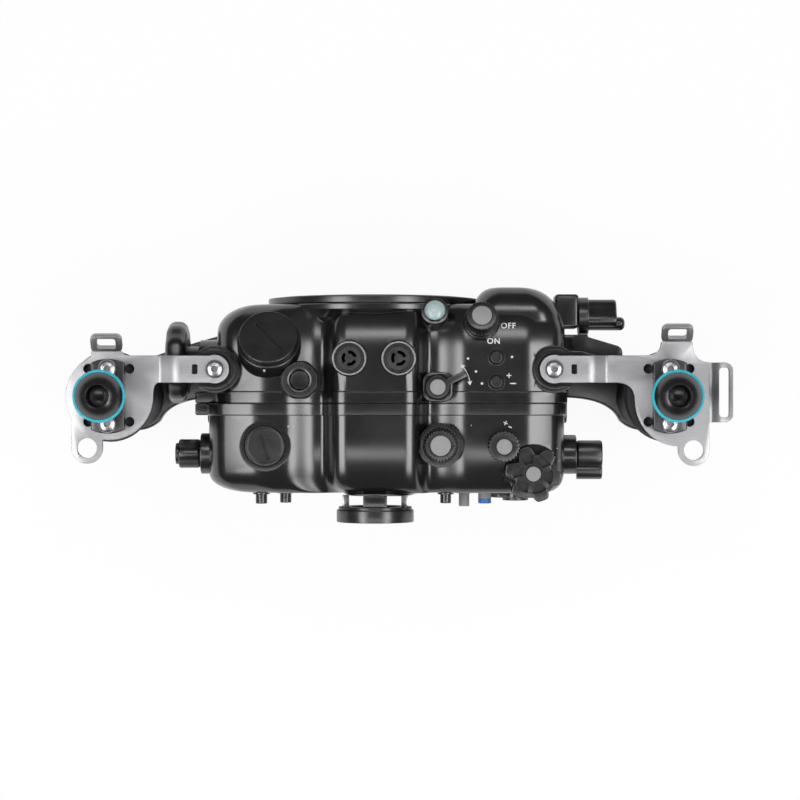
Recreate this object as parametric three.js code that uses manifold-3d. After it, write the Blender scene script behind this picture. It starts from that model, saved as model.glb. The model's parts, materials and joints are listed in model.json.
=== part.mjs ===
// Underwater camera housing: two machined shells that part behind the lens port,
// a handle on each side under a steel bracket, and a control for each camera function.
// Millimetres, +Z up. The origin is the middle of the tripod plate's underside.
// +Y points out of the lens port and +X to the right of someone holding the handles.
import * as THREE from 'three';
import { mergeVertices } from 'three/addons/utils/BufferGeometryUtils.js';
import Module from 'manifold-3d';

const wasm = await Module();
wasm.setup();

// General fits.
const SEAT_GAP = 0.3;
const RUNNING_GAP = 0.3;
const OVERRUN = 2;
const CLEARING = 14;

// Height plan.
const PLATE_THICKNESS = 8;
const AXIS_HEIGHT = 90;
const SHOULDER_TOP = 143;
const HUMP_RISE = 7;
const VALLEY_DEPTH = 6;

// Shells. The parting plane lies behind the middle of the tripod plate.
const PARTING_Y = -28;
const PARTING_GAP = 0.3;
const WALL = 5;
const FRONT_LEFT = -81.6;
const FRONT_RIGHT = 100.4;
const FRONT_DEPTH = 51.5;
const FRONT_WALL = 6;
const BACK_LEFT = -85.9;
const BACK_RIGHT = 99.9;
const BACK_DEPTH = 46.5;
const BACK_WALL = 6;
const TOP_LEFT_CORNER = 30;
const TOP_RIGHT_CORNER = 23.5;
const LOW_CORNER = 16;
const HUMP_X = 1.75;
const HUMP_FLAT = 13;
const HUMP_FALL = 13;
const LEFT_VALLEY_X = -27;
const RIGHT_VALLEY_X = 30.5;
const VALLEY_SHOULDER_SIDE = 20;
const VALLEY_HUMP_SIDE = 10;
const FRONT_EDGE = { left: 20, right: 14, top: 12, bottom: 12, depth: 14.8 };
const BACK_EDGE = { left: 20, right: 9, top: 10, bottom: 10, depth: 9.5 };
const FRONT_HOLLOW_EDGE = { left: 12, right: 8, top: 6, bottom: 4, depth: 8 };
const BACK_HOLLOW_EDGE = { left: 12, right: 6, top: 6, bottom: 4, depth: 6 };
const FLANGE_DEPTH = 6.2;
const FLANGE_PROUD = 1.1;
const FLANGE_EAR_PROUD = 6.6;
const FLANGE_EAR_LEFT = BACK_LEFT - FLANGE_EAR_PROUD;
const FLANGE_EAR_LOW = 96;
const FLANGE_EAR_HIGH = 124;

// Seal between the shells.
const SEAL_WIDTH = 2.2;
const SEAL_DEPTH = 1.8;
const SEAL_INSET = 1.4;
const SEAL_GAP = 0.2;

// Grip bulge on the right of the lens port.
const BULGE = { left: 54.8, right: 101, low: 24, high: 138, front: 60.3, corner: 14 };
const BULGE_EDGE = { left: 12, right: 10, top: 12, bottom: 12, depth: 15 };

// Lens port.
const PORT_OUTER_R = 56;
const PORT_INNER_R = 46;
const PORT_OPENING_R = 43;
const PORT_RING_DEPTH = 3.7;
const PORT_LUG_R = 44.4;
const PORT_LUG_DEPTH = 1.6;
const PORT_LUG_SWEEP = 24;
const PORT_LUGS = 3;
const PORT_BOSS = { proud: 1.2, drop: 22 };

// Tripod plate and rear feet.
const PLATE = { width: 78, depth: 42, corner: 8, boltSpacing: 50, boltR: 3.3 };
const FOOT = { r: 7, left: -45, right: 50, back: 30 };

// Camera tray inside the front shell.
const TRAY = { width: 96, depth: 34, thickness: 3.4, fromParting: 3, screwBoreR: 3.4 };
const TRAY_SCREW = { headR: 8, head: 1.8, stemR: 3, stem: 7, slot: 1.6 };

// Leak sensor and light board under the roof of the front shell.
const BOARD = {
  width: 30,
  depth: 16,
  thickness: 1.6,
  x: 54,
  fromParting: 12,
  headroom: 9,
  postR: 2,
  postSpacing: 8,
};

// Handle brackets of folded steel plate.
const STEEL = 3;
const ARM_RISE = 1;
const ARM_TOP = SHOULDER_TOP + ARM_RISE;
const BRACKET_RISE = 6;
const BRACKET_TOP = ARM_TOP + BRACKET_RISE;
const ARM_WIDTH = 13.9;
const ARM_Y = 17.5;
const ARM_END_R = 7.4;
const ARM_SLOT = { width: 2.5, length: 4.9, inset: 10.2 };
const CRADLE_INSET = { left: 0.8, right: 7.1 };
const LEFT_SCREW_X = FRONT_LEFT + CRADLE_INSET.left;
const RIGHT_SCREW_X = FRONT_RIGHT - CRADLE_INSET.right;
const HAND_Y = 3.6;
const LEFT_HAND_X = -134.2;
const RIGHT_HAND_X = 151.3;
const PLATE_SHIFT = { left: 0.2, right: 5.7 };
const LEFT_PLATE_R = 22.3;
const LEFT_PLATE_X = LEFT_HAND_X + PLATE_SHIFT.left;
const RIGHT_PLATE_R = 23;
const RIGHT_PLATE_X = RIGHT_HAND_X + PLATE_SHIFT.right;
const RIGHT_PLATE_Y = 1;
const TAB_HOLE_R = 5.1;
const TAB_R = 8;
const TAB_SHIFT = { left: -11.4, right: 7 };
const LEFT_TAB = { x: LEFT_PLATE_X + TAB_SHIFT.left, y: -22.8 };
const RIGHT_TAB = { x: RIGHT_PLATE_X + TAB_SHIFT.right, y: -23.9 };
const HOOK = {
  width: 16,
  foldAngle: 38,
  length: 9.4,
  root: 1,
  corner: 3,
  slotWidth: 9.7,
  slotHeight: 6.2,
  slotInset: 1.6,
  slotCorner: 1.5,
};
const HOOK_FILLET = 2.5;
const PLATE_FILLET = 8;
const ARM_FILLET = 9.4;
const HOOK_SHIFT = { left: -1.3, right: -1.6 };
const LEFT_HOOK = { x: LEFT_PLATE_X + HOOK_SHIFT.left, y: 26.5 };
const RIGHT_HOOK = { x: RIGHT_PLATE_X + HOOK_SHIFT.right, y: 31.5 };

// The bends between an arm and its plate, counted from the plate's rounded edge.
const LEFT_BEND = { clear: 2.9, run: 8.6 };
const RIGHT_BEND = { clear: 4.5, run: 8.1 };
const LEFT_BEND_X = LEFT_PLATE_X + LEFT_PLATE_R + LEFT_BEND.clear;
const RIGHT_BEND_X = RIGHT_PLATE_X - RIGHT_PLATE_R - ARM_FILLET - RIGHT_BEND.clear;
const STRAP = { fromPlate: 15.6, ramp: 4.4, width: 6.2, rise: 4.6, lip: 1.6, front: 20.8, back: -9.7 };
const STRAP_BEND_X = RIGHT_PLATE_X + STRAP.fromPlate;
const STRAP_SLOT = { length: 23, width: 2.4, offset: 0.6 };
const WEIGHT_HOLE = { r: 2.5, dx: 10.5, front: 17.6, back: -9.4 };

// Cradles that carry the bracket arms on the front shell.
const CRADLE = { r: 10.6, rimWall: 1.8, rimHeight: 3.4, drop: 36 };

// Strobe-arm balls on the brackets.
const BALL_BASE = { width: 17.1, height: 6, endR: 19 };
const BALL_RISE = 36;
const BALL_Z = BRACKET_TOP + BALL_RISE;
const BALL_R = 12.7;
const BALL_NECK_R = 7.5;
const BALL_FOOT_R = 8.6;
const BALL_FOOT_HEIGHT = 4;
const BALL_HOLE_R = 5.65;
const BALL_HOLE_DEPTH = 8;
const BALL_RING = { lift: 3.5, proud: 0.4, depth: 1.9, half: 1 };
const BALL_SCREW_OFFSET = 13.9;

// Button-head screws.
const SCREW = {
  headR: 4.75,
  edgeHeight: 0.9,
  domeR: 3.4,
  domeHeight: 2.5,
  headHeight: 2.7,
  stemR: 2.4,
  socketR: 1.75,
  socketDepth: 1.5,
  bite: 6,
};

// Handles and the lower arms that carry them.
const GRIP = { topWide: 22, topDeep: 23.4, midWide: 13.6, midDeep: 16.6, footWide: 16, footDeep: 19 };
const GRIP_COLLAR = 8;
const GRIP_FLARE = 22;
const GRIP_FINGER_DEPTH = 1.8;
const GRIP_FINGERS = 4;
const LOWER_ARM = { low: 16, thickness: 10, front: 38, back: 3, sweepFrom: -135, sweepTo: 90 };
const ARM_PAD = { reach: 5.2, low: 13, high: 44, inset: 1 };

// Large service plug, tilted towards the front.
const PLUG = {
  x: -53.1,
  y: 32.4,
  lift: 2,
  tilt: 27,
  r: 15,
  cap: 3.6,
  stemR: 10.6,
  stem: 9,
  slot: 1.6,
  slotDepth: 1.4,
  heading: -47.6,
};
const PLUG_BOSS = { proud: 2.4, drop: 26 };

// Vacuum valve cap with a dished middle.
const VALVE = { x: -37.3, y: 12, lift: 1, r: 9.1, cap: 3.2, stemR: 5, stem: 8, dishR: 4.6, dishDepth: 1.6 };
const VALVE_BOSS = { proud: 1.6, drop: 14 };

// Optical ports for flash triggering.
const OPTIC = {
  left: -11.7,
  right: 13.5,
  y: 23,
  r: 8.95,
  thickness: 3,
  proud: 0.9,
  stemR: 5,
  stem: 7,
  rim: 1.2,
  lensDepth: 0.5,
};

// Leak warning dome.
const DOME = { x: 32.1, y: 47.5, drop: 2.5, r: 5.65, rise: 3.4, stemR: 3.6, stem: 9, tilt: 18 };
const DOME_BOSS = { proud: 1.5, drop: 16 };

// Power switch knob.
const POWER = {
  x: 56,
  y: 41.9,
  drop: 1,
  tilt: 20,
  r: 8.9,
  height: 8,
  capR: 5.1,
  cap: 1.2,
  teeth: 20,
  toothDepth: 0.5,
};
const POWER_BOSS = { proud: 0.8, drop: 12 };

// Selector lever for stills and video.
const SELECTOR = {
  x: 33.5,
  y: 8.3,
  drop: 2,
  r: 6,
  height: 6.4,
  capR: 4.05,
  cap: 0.8,
  arm: 16,
  armWidth: 3.4,
  armLift: 2.7,
  heading: 26,
};
const SELECTOR_BOSS = { proud: 1.7, drop: 10 };

// Two push buttons on the roof.
const ROOF_BUTTON = { x: 63.6, front: 23.5, rear: 10.9, r: 3.1, proud: 2.6, stem: 8.4 };
const ROOF_BUTTON_BOSS = { proud: 1.3, rise: 0.8 };

// Zoom control on the left side.
const ZOOM = { y: 21.8, z: 90, r: 21.85, clear: 6.4, width: 11, shaftR: 4, lobes: 12, lobeDepth: 1.1 };
const ZOOM_HUB = { r: 12, proud: 11, collarR: 8.5 };
const PINION = { teeth: 14, rootR: 7.4, tipR: 9.4, width: 7, inset: 5 };
const PINION_TOOTH_SHARES = [
  [0, PINION.rootR],
  [0.3, PINION.rootR],
  [0.45, PINION.tipR],
  [0.85, PINION.tipR],
];

// Control on the right of the grip bulge.
const FRONT_DIAL = { y: 45.9, z: 110, r: 8.7, length: 14.8, lobes: 3, lobeDepth: 1.7, shaftR: 2.6 };
const FRONT_DIAL_TAIL = { r: 3.5, back: 4.1, rise: 2.9, beyond: 4.2 };
const FRONT_DIAL_HUB = { r: 9.8, height: 5.5 };
const FRONT_DIAL_BLOCK = { proud: 7.3, front: 11.2, back: 6.6, half: 9.5 };

// Shutter release lever by the right handle.
const SHUTTER = {
  fromWall: 7.6,
  y: 31.5,
  z: 116,
  hubR: 4.6,
  linkR: 4.2,
  height: 7,
  length: 19,
  heading: -16,
  padR: 4,
  thickness: 4,
};
const SHUTTER_PIN = { r: 2, length: 5 };
const SHUTTER_LUG = { half: 4.5, thickness: 4, beyond: 5 };

// Port lock lever and lens release button on the front face, under the port ring.
const PORT_LOCK = { x: -50, z: 27, hubR: 5, thickness: 3, length: 15, tipR: 3, stemR: 2, stem: 4 };
const LENS_BUTTON = { x: 48, z: 27, r: 4.5, proud: 3.2, stem: 9 };

// Side latches: a lever that turns on a boss of the front shell and lies across the parting.
const LATCH = { z: 56, y: 13, hubR: 6, tipR: 4, length: 20, thickness: 4, stemR: 2.2, stem: 7, drop: 9 };

// Back face: window, viewfinder and its bulge.
const WINDOW = { x: 2, z: 56, width: 88, height: 62, corner: 6, thickness: 3, ledge: 5 };
const FINDER_X = 1.3;
const FINDER_Z = 124;
const FINDER_BULGE = { left: -16.9, right: 24.7, low: 98, high: 147, proud: 1.5, edge: 3, corner: 6 };
const FINDER = { boreR: 13, stepR: 19.1, rimR: 20.1, gap: 5.7, stepDepth: 1.6, rimDepth: 6.4 };
const FINDER_POST = { count: 4, width: 5, thickness: 3.4, reach: 14.8 };
const FINDER_GLASS = { r: 15, thickness: 2, recess: 4.7 };

// Round plug on the roof of the back shell.
const BACK_PLUG = {
  x: -55,
  y: 21.9,
  r: 10.25,
  cap: 0.9,
  stemR: 7,
  stem: 8,
  slot: 1.6,
  slotDepth: 1.1,
  heading: 107,
  ringR: 13.1,
  ringRise: 2,
};

// Dials on the roof of the back shell.
const MODE_DIAL = { x: 34.9, y: 21.6, r: 10.15, height: 7, teeth: 24, toothDepth: 0.5, capR: 5.25, cap: 1 };
const EXPOSURE_DIAL = {
  x: 67.3,
  y: 22.1,
  r: 8.05,
  height: 5.5,
  teeth: 24,
  toothDepth: 0.4,
  capR: 4,
  cap: 1,
  neckR: 5.8,
  rise: 4,
};
const STAR_DIAL = {
  x: 82.5,
  y: 36.2,
  drop: 5,
  r: 14.6,
  height: 7,
  teeth: 6,
  toothDepth: 2,
  capR: 3.85,
  cap: 1.2,
};
const DIAL_SHAFT = { r: 2.2, length: 10 };
const DIAL_BOSS = { proud: 1.2, rise: 1.2, drop: 8 };
const STAR_PAD = { r: 12.6, drop: 18, bed: 4, wall: 2 };

// Side knobs of the back shell.
const RIGHT_KNOB = {
  y: 27,
  z: 110,
  hubR: 10.3,
  hubProud: 6.9,
  r: 7.7,
  clear: 0.4,
  length: 13.3,
  lobes: 3,
  lobeDepth: 0.6,
};
const RIGHT_KNOB_LOBE = { r: 4.5, back: 8.5 };
const LEFT_KNOB = {
  y: 26.5,
  z: 110,
  hubR: 10.7,
  hubProud: 4.6,
  r: 7.55,
  clear: 0.5,
  length: 12.8,
  lobes: 4,
  lobeDepth: 1,
};
const SIDE_SHAFT_R = 2.4;
const SIDE_SHAFT_BITE = 7;

// Push buttons on the back face.
const BACK_BUTTON = { stem: 9, collar: 1.4, rise: 1 };
const BUTTON_LIP = 0.8;
const MENU_BUTTON = { x: -58.2, z: 120, r: 3, proud: 5.9 };
const CUSTOM_BUTTON = { x: -46.1, z: 108, r: 3, proud: 5.9 };
const FOCUS_BUTTON = { x: 38, z: 122, r: 2.85, proud: 5.6 };
const RECORD_BUTTON = { x: 48, z: 108, r: 2.8, proud: 7.8 };
const PLAY_BUTTON = { x: 59, z: 104, r: 3.45, proud: 6.5 };

// Control wheel on the back face.
const WHEEL = { x: 76.8, z: 72, r: 14.2, clear: 1.1, width: 3.4, lobes: 12, lobeDepth: 0.9 };
const WHEEL_HUB = { r: 7, rise: 1.7 };
const WHEEL_SHAFT_R = 3;

// How finely round shapes are cut.
const PORT_SIDES = 32;
const FINE = 20;
const ROUND = 14;
const SMALL = 8;
const HEXAGON = 6;
const CORNER_STEPS = 3;
const RELIEF_STEPS = 18;
const EDGE_STEPS = 3;
const GRIP_RINGS = 11;

// Colours and surfaces.
const BLACK_METAL = { color: 0x1c1c1e, roughness: 0.42, metalness: 0.6 };
const BLACK_RUBBER = { color: 0x17181a, roughness: 0.8, metalness: 0 };
const STEEL_PLATE = { color: 0xa9a9ab, roughness: 0.35, metalness: 0.95 };
const BRIGHT_STEEL = { color: 0xcfd0d2, roughness: 0.2, metalness: 1 };
const GREY_CAP = { color: 0x9c9c9c, roughness: 0.6, metalness: 0 };
const TEAL_RUBBER = { color: 0x2fb3c4, roughness: 0.5, metalness: 0 };
const BLUE_CAP = { color: 0x2a72c0, roughness: 0.5, metalness: 0 };
const CLEAR_GLASS = { color: 0x20262a, roughness: 0.05, metalness: 0 };
const PALE_LENS = { color: 0xc5d2d4, roughness: 0.3, metalness: 0 };
const GREEN_BOARD = { color: 0x1f5a3a, roughness: 0.6, metalness: 0 };

const housing = new THREE.Group();
const backGroup = new THREE.Group();
housing.add(backGroup);

// Turns a closed geometry into a solid that can be joined and cut.
function solidOf(geometry) {
  const bare = geometry.index ? geometry.toNonIndexed() : geometry.clone();
  bare.deleteAttribute('normal');
  bare.deleteAttribute('uv');
  const merged = mergeVertices(bare);
  const vertProperties = new Float32Array(merged.attributes.position.array);
  const triVerts = new Uint32Array(merged.index.array);
  return new wasm.Manifold(new wasm.Mesh({ numProp: 3, vertProperties, triVerts }));
}

function geometryOf(solid) {
  const mesh = solid.getMesh();
  const geometry = new THREE.BufferGeometry();
  geometry.setAttribute('position', new THREE.BufferAttribute(mesh.vertProperties, mesh.numProp));
  geometry.setIndex(new THREE.BufferAttribute(mesh.triVerts, 1));
  return geometry;
}

function joined(first, ...rest) {
  return rest.reduce((whole, geometry) => whole.add(solidOf(geometry)), solidOf(first));
}

function cut(solid, ...tools) {
  return tools.reduce((whole, geometry) => whole.subtract(solidOf(geometry)), solid);
}

function addMesh(parent, name, geometry, look, matrix) {
  const mesh = new THREE.Mesh(geometry, new THREE.MeshStandardMaterial(look));
  mesh.name = name;
  if (matrix) {
    matrix.decompose(mesh.position, mesh.quaternion, mesh.scale);
  }
  parent.add(mesh);
  return mesh;
}

function degrees(angle) {
  return THREE.MathUtils.degToRad(angle);
}

// A place on the housing: y is counted from the parting plane, and the local +Z axis points
// along the given direction.
function placeAt(x, y, z, direction) {
  const turn = new THREE.Quaternion().setFromUnitVectors(new THREE.Vector3(0, 0, 1), direction);
  const spot = new THREE.Vector3(x, PARTING_Y + y, z);
  return new THREE.Matrix4().compose(spot, turn, new THREE.Vector3(1, 1, 1));
}

const UP = new THREE.Vector3(0, 0, 1);
const FORWARD = new THREE.Vector3(0, 1, 0);
const BACKWARD = new THREE.Vector3(0, -1, 0);
const RIGHTWARD = new THREE.Vector3(1, 0, 0);
const LEFTWARD = new THREE.Vector3(-1, 0, 0);

function leaning(tilt) {
  return new THREE.Vector3(0, Math.sin(degrees(tilt)), Math.cos(degrees(tilt)));
}

function at(geometry, matrix) {
  return geometry.clone().applyMatrix4(matrix);
}

// A turned shape about +Z from pairs of radius and height.
function turned(pairs, sides) {
  const points = pairs.map(([r, h]) => new THREE.Vector2(r, h));
  return new THREE.LatheGeometry(points, sides).rotateX(Math.PI / 2);
}

function disc(r, low, high, sides) {
  return turned([[0, low], [r, low], [r, high], [0, high]], sides);
}

function ringOf(innerR, outerR, low, high, sides) {
  const loop = [[innerR, low], [outerR, low], [outerR, high], [innerR, high], [innerR, low]];
  return turned(loop, sides);
}

function block(x0, x1, y0, y1, z0, z1) {
  const box = new THREE.BoxGeometry(x1 - x0, y1 - y0, z1 - z0);
  return box.translate((x0 + x1) / 2, (y0 + y1) / 2, (z0 + z1) / 2);
}

function prism(shape, low, high, curveSteps) {
  const settings = { depth: high - low, bevelEnabled: false, curveSegments: curveSteps };
  return new THREE.ExtrudeGeometry(shape, settings).translate(0, 0, low);
}

function shapeOf(points) {
  return new THREE.Shape(points.map(([x, y]) => new THREE.Vector2(x, y)));
}

function roundedRectangle(x0, x1, y0, y1, r) {
  const shape = new THREE.Shape();
  shape.moveTo(x0 + r, y0);
  shape.lineTo(x1 - r, y0);
  shape.absarc(x1 - r, y0 + r, r, -Math.PI / 2, 0);
  shape.lineTo(x1, y1 - r);
  shape.absarc(x1 - r, y1 - r, r, 0, Math.PI / 2);
  shape.lineTo(x0 + r, y1);
  shape.absarc(x0 + r, y1 - r, r, Math.PI / 2, Math.PI);
  shape.lineTo(x0, y0 + r);
  shape.absarc(x0 + r, y0 + r, r, Math.PI, Math.PI * 1.5);
  return shape;
}

// A round outline with rounded waves, for knobs that are gripped by their lobes.
function lobedShape(r, depth, lobes, stepsPerLobe) {
  const points = [];
  const steps = lobes * stepsPerLobe;
  for (let i = 0; i < steps; i += 1) {
    const angle = (i / steps) * Math.PI * 2;
    const wave = (1 + Math.cos(angle * lobes)) / 2;
    const reach = r - depth * (1 - wave);
    points.push([reach * Math.cos(angle), reach * Math.sin(angle)]);
  }
  return shapeOf(points);
}

// A closed skin through rings that all have as many points, in order along the loft.
function loft(rings, flatOf) {
  const count = rings[0].length;
  const positions = rings.flat().flatMap((point) => [point.x, point.y, point.z]);
  const index = [];
  for (let r = 0; r + 1 < rings.length; r += 1) {
    for (let i = 0; i < count; i += 1) {
      const a = r * count + i;
      const b = r * count + ((i + 1) % count);
      index.push(a, b, b + count, a, b + count, a + count);
    }
  }
  const last = (rings.length - 1) * count;
  const caps = THREE.ShapeUtils.triangulateShape(rings[0].map(flatOf), []);
  caps.forEach(([a, b, c]) => index.push(a, c, b));
  caps.forEach(([a, b, c]) => index.push(last + a, last + b, last + c));
  const geometry = new THREE.BufferGeometry();
  geometry.setAttribute('position', new THREE.Float32BufferAttribute(positions, 3));
  geometry.setIndex(index);
  return outward(geometry);
}

// Turns the faces of a closed geometry outwards where the ring order left them inwards.
function outward(geometry) {
  const points = geometry.attributes.position;
  const corners = geometry.index.array;
  const a = new THREE.Vector3();
  const b = new THREE.Vector3();
  const c = new THREE.Vector3();
  let volume = 0;
  for (let i = 0; i < corners.length; i += 3) {
    a.fromBufferAttribute(points, corners[i]);
    b.fromBufferAttribute(points, corners[i + 1]);
    c.fromBufferAttribute(points, corners[i + 2]);
    volume += a.dot(b.cross(c));
  }
  if (volume < 0) {
    geometry.setIndex(Array.from(corners).reverse());
  }
  return geometry;
}

// Roof height of both shells at x: two shoulders, two valleys and a hump over the lens.
function roofHeight(x) {
  const side = Math.max(0, Math.abs(x - HUMP_X) - HUMP_FLAT);
  const hump = side < HUMP_FALL ? (1 + Math.cos((Math.PI * side) / HUMP_FALL)) / 2 : 0;
  const valley = [LEFT_VALLEY_X, RIGHT_VALLEY_X]
    .map((centre) => {
      const onShoulderSide = Math.abs(x - HUMP_X) > Math.abs(centre - HUMP_X);
      const reach = onShoulderSide ? VALLEY_SHOULDER_SIDE : VALLEY_HUMP_SIDE;
      return Math.min(1, Math.abs(x - centre) / reach);
    })
    .reduce((sum, share) => sum + (1 + Math.cos(Math.PI * share)) / 2, 0);
  return SHOULDER_TOP + HUMP_RISE * hump - VALLEY_DEPTH * valley;
}

function arcPoints(cx, cz, r, from, to, steps) {
  const points = [];
  for (let i = 0; i <= steps; i += 1) {
    const angle = degrees(from + ((to - from) * i) / steps);
    points.push([cx + r * Math.cos(angle), cz + r * Math.sin(angle)]);
  }
  return points;
}

// Outline of a shell in x and z, anticlockwise.
function shellOutline(left, right) {
  const low = PLATE_THICKNESS;
  const points = arcPoints(left + LOW_CORNER, low + LOW_CORNER, LOW_CORNER, 270, 180, CORNER_STEPS);
  const high = SHOULDER_TOP - TOP_LEFT_CORNER;
  points.push(...arcPoints(left + TOP_LEFT_CORNER, high, TOP_LEFT_CORNER, 180, 90, CORNER_STEPS + 2));
  const from = left + TOP_LEFT_CORNER;
  const to = right - TOP_RIGHT_CORNER;
  for (let i = 1; i < RELIEF_STEPS; i += 1) {
    const x = from + ((to - from) * i) / RELIEF_STEPS;
    points.push([x, roofHeight(x)]);
  }
  const cornerHigh = SHOULDER_TOP - TOP_RIGHT_CORNER;
  points.push(...arcPoints(to, cornerHigh, TOP_RIGHT_CORNER, 90, 0, CORNER_STEPS + 1));
  points.push(...arcPoints(right - LOW_CORNER, low + LOW_CORNER, LOW_CORNER, 0, -90, CORNER_STEPS));
  return points.reverse();
}

// The outline drawn in by a margin on each side, standing at depth y.
function insetRing(outline, margin, y) {
  const xs = outline.map(([x]) => x);
  const zs = outline.map(([, z]) => z);
  const left = Math.min(...xs);
  const width = Math.max(...xs) - left;
  const low = Math.min(...zs);
  const height = Math.max(...zs) - low;
  const xShare = (width - margin.left - margin.right) / width;
  const zShare = (height - margin.top - margin.bottom) / height;
  return outline.map(([x, z]) => new THREE.Vector3(
    left + margin.left + (x - left) * xShare,
    PARTING_Y + y,
    low + margin.bottom + (z - low) * zShare,
  ));
}

function evenMargin(amount) {
  return { left: amount, right: amount, top: amount, bottom: amount };
}

function flatXZ(point) {
  return new THREE.Vector2(point.x, point.z);
}

function flatXY(point) {
  return new THREE.Vector2(point.x, point.y);
}

// A solid that keeps its outline from one depth to another and rounds off at its far edge.
function roundedCase(outline, from, to, edge, wall) {
  const toward = Math.sign(to - from);
  const bend = to - toward * edge.depth;
  const rings = [insetRing(outline, evenMargin(wall), from)];
  for (let i = 0; i <= EDGE_STEPS; i += 1) {
    const angle = (Math.PI / 2) * (i / EDGE_STEPS);
    const draw = 1 - Math.cos(angle);
    const margin = {
      left: wall + edge.left * draw,
      right: wall + edge.right * draw,
      top: wall + edge.top * draw,
      bottom: wall + edge.bottom * draw,
    };
    rings.push(insetRing(outline, margin, bend + toward * edge.depth * Math.sin(angle)));
  }
  return loft(rings, flatXZ);
}

function sleeve(outline, from, to, margin) {
  const ends = [from, to].map((y) => insetRing(outline, evenMargin(margin), y));
  return loft(ends, flatXZ);
}

// Cuts the seal's groove, or gives the seal itself when the clearance is taken off.
function sealLoop(outline, from, to, clearance) {
  const outer = sleeve(outline, from, to, SEAL_INSET + clearance);
  const inner = sleeve(outline, from - OVERRUN, to + OVERRUN, SEAL_INSET + SEAL_WIDTH - clearance);
  return cut(solidOf(outer), inner);
}

// Boss on a wall: a round pad round a place, from below the surface to a little above it.
function boss(place, r, drop, rise, sides) {
  return at(disc(r, -drop, rise, sides), place);
}

function bore(place, r, depth, sides) {
  return at(disc(r, -depth, OVERRUN, sides), place);
}

// Clears the space over a seat that the neighbouring walls would reach into.
function clearing(place, r, sides) {
  return at(disc(r, 0, CLEARING, sides), place);
}

// Places of the controls. Roof controls stand on the roof's height at their own x.
const onRoof = (x, y, rise) => placeAt(x, y, roofHeight(x) + rise, UP);
const PLUG_PLACE = placeAt(PLUG.x, PLUG.y, SHOULDER_TOP + PLUG.lift, leaning(PLUG.tilt));
const VALVE_PLACE = placeAt(VALVE.x, VALVE.y, SHOULDER_TOP + VALVE.lift, UP);
const DOME_PLACE = placeAt(DOME.x, DOME.y, SHOULDER_TOP - DOME.drop, leaning(DOME.tilt));
const POWER_PLACE = placeAt(POWER.x, POWER.y, SHOULDER_TOP - POWER.drop, leaning(POWER.tilt));
const SELECTOR_PLACE = placeAt(SELECTOR.x, SELECTOR.y, SHOULDER_TOP - SELECTOR.drop, UP);
const ROOF_BUTTON_PLACES = [ROOF_BUTTON.front, ROOF_BUTTON.rear]
  .map((y) => onRoof(ROOF_BUTTON.x, y, ROOF_BUTTON_BOSS.rise));
const OPTIC_PLACES = [OPTIC.left, OPTIC.right]
  .map((x) => onRoof(x, OPTIC.y, 0));
const ZOOM_PLACE = placeAt(FRONT_LEFT - ZOOM_HUB.proud, ZOOM.y, ZOOM.z, LEFTWARD);
const FRONT_DIAL_PLACE = placeAt(FRONT_RIGHT + FRONT_DIAL_BLOCK.proud, FRONT_DIAL.y, FRONT_DIAL.z, RIGHTWARD);
const BACK_PLUG_PLACE = onRoof(BACK_PLUG.x, -BACK_PLUG.y, BACK_PLUG.ringRise);
const MODE_PLACE = placeAt(MODE_DIAL.x, -MODE_DIAL.y, SHOULDER_TOP + DIAL_BOSS.rise, UP);
const EXPOSURE_PLACE = onRoof(EXPOSURE_DIAL.x, -EXPOSURE_DIAL.y, EXPOSURE_DIAL.rise);
const STAR_PLACE = placeAt(STAR_DIAL.x, -STAR_DIAL.y, SHOULDER_TOP - STAR_DIAL.drop, UP);
const RIGHT_KNOB_PLACE = placeAt(BACK_RIGHT + RIGHT_KNOB.hubProud, -RIGHT_KNOB.y, RIGHT_KNOB.z, RIGHTWARD);
const LEFT_KNOB_PLACE = placeAt(BACK_LEFT - LEFT_KNOB.hubProud, -LEFT_KNOB.y, LEFT_KNOB.z, LEFTWARD);
const WHEEL_PLACE = placeAt(WHEEL.x, -BACK_DEPTH, WHEEL.z, BACKWARD);
const WINDOW_PLACE = placeAt(WINDOW.x, -BACK_DEPTH, WINDOW.z, BACKWARD);
const FINDER_PLACE = placeAt(FINDER_X, 0, FINDER_Z, BACKWARD);
const PORT_PLACE = placeAt(0, FRONT_DEPTH, AXIS_HEIGHT, FORWARD);
const PORT_LOCK_PLACE = placeAt(PORT_LOCK.x, FRONT_DEPTH, PORT_LOCK.z, FORWARD);
const LENS_BUTTON_PLACE = placeAt(LENS_BUTTON.x, FRONT_DEPTH, LENS_BUTTON.z, FORWARD);
const SHUTTER_PLACE = placeAt(FRONT_RIGHT + SHUTTER.fromWall, SHUTTER.y, SHUTTER.z, UP);
const LEFT_SIDE = Math.min(FRONT_LEFT, BACK_LEFT) - FLANGE_PROUD;
const RIGHT_SIDE = Math.max(FRONT_RIGHT, BACK_RIGHT) + FLANGE_PROUD;
const LATCH_PLACES = [
  placeAt(LEFT_SIDE, LATCH.y, LATCH.z, LEFTWARD),
  placeAt(RIGHT_SIDE, LATCH.y, LATCH.z, RIGHTWARD),
];

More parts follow.
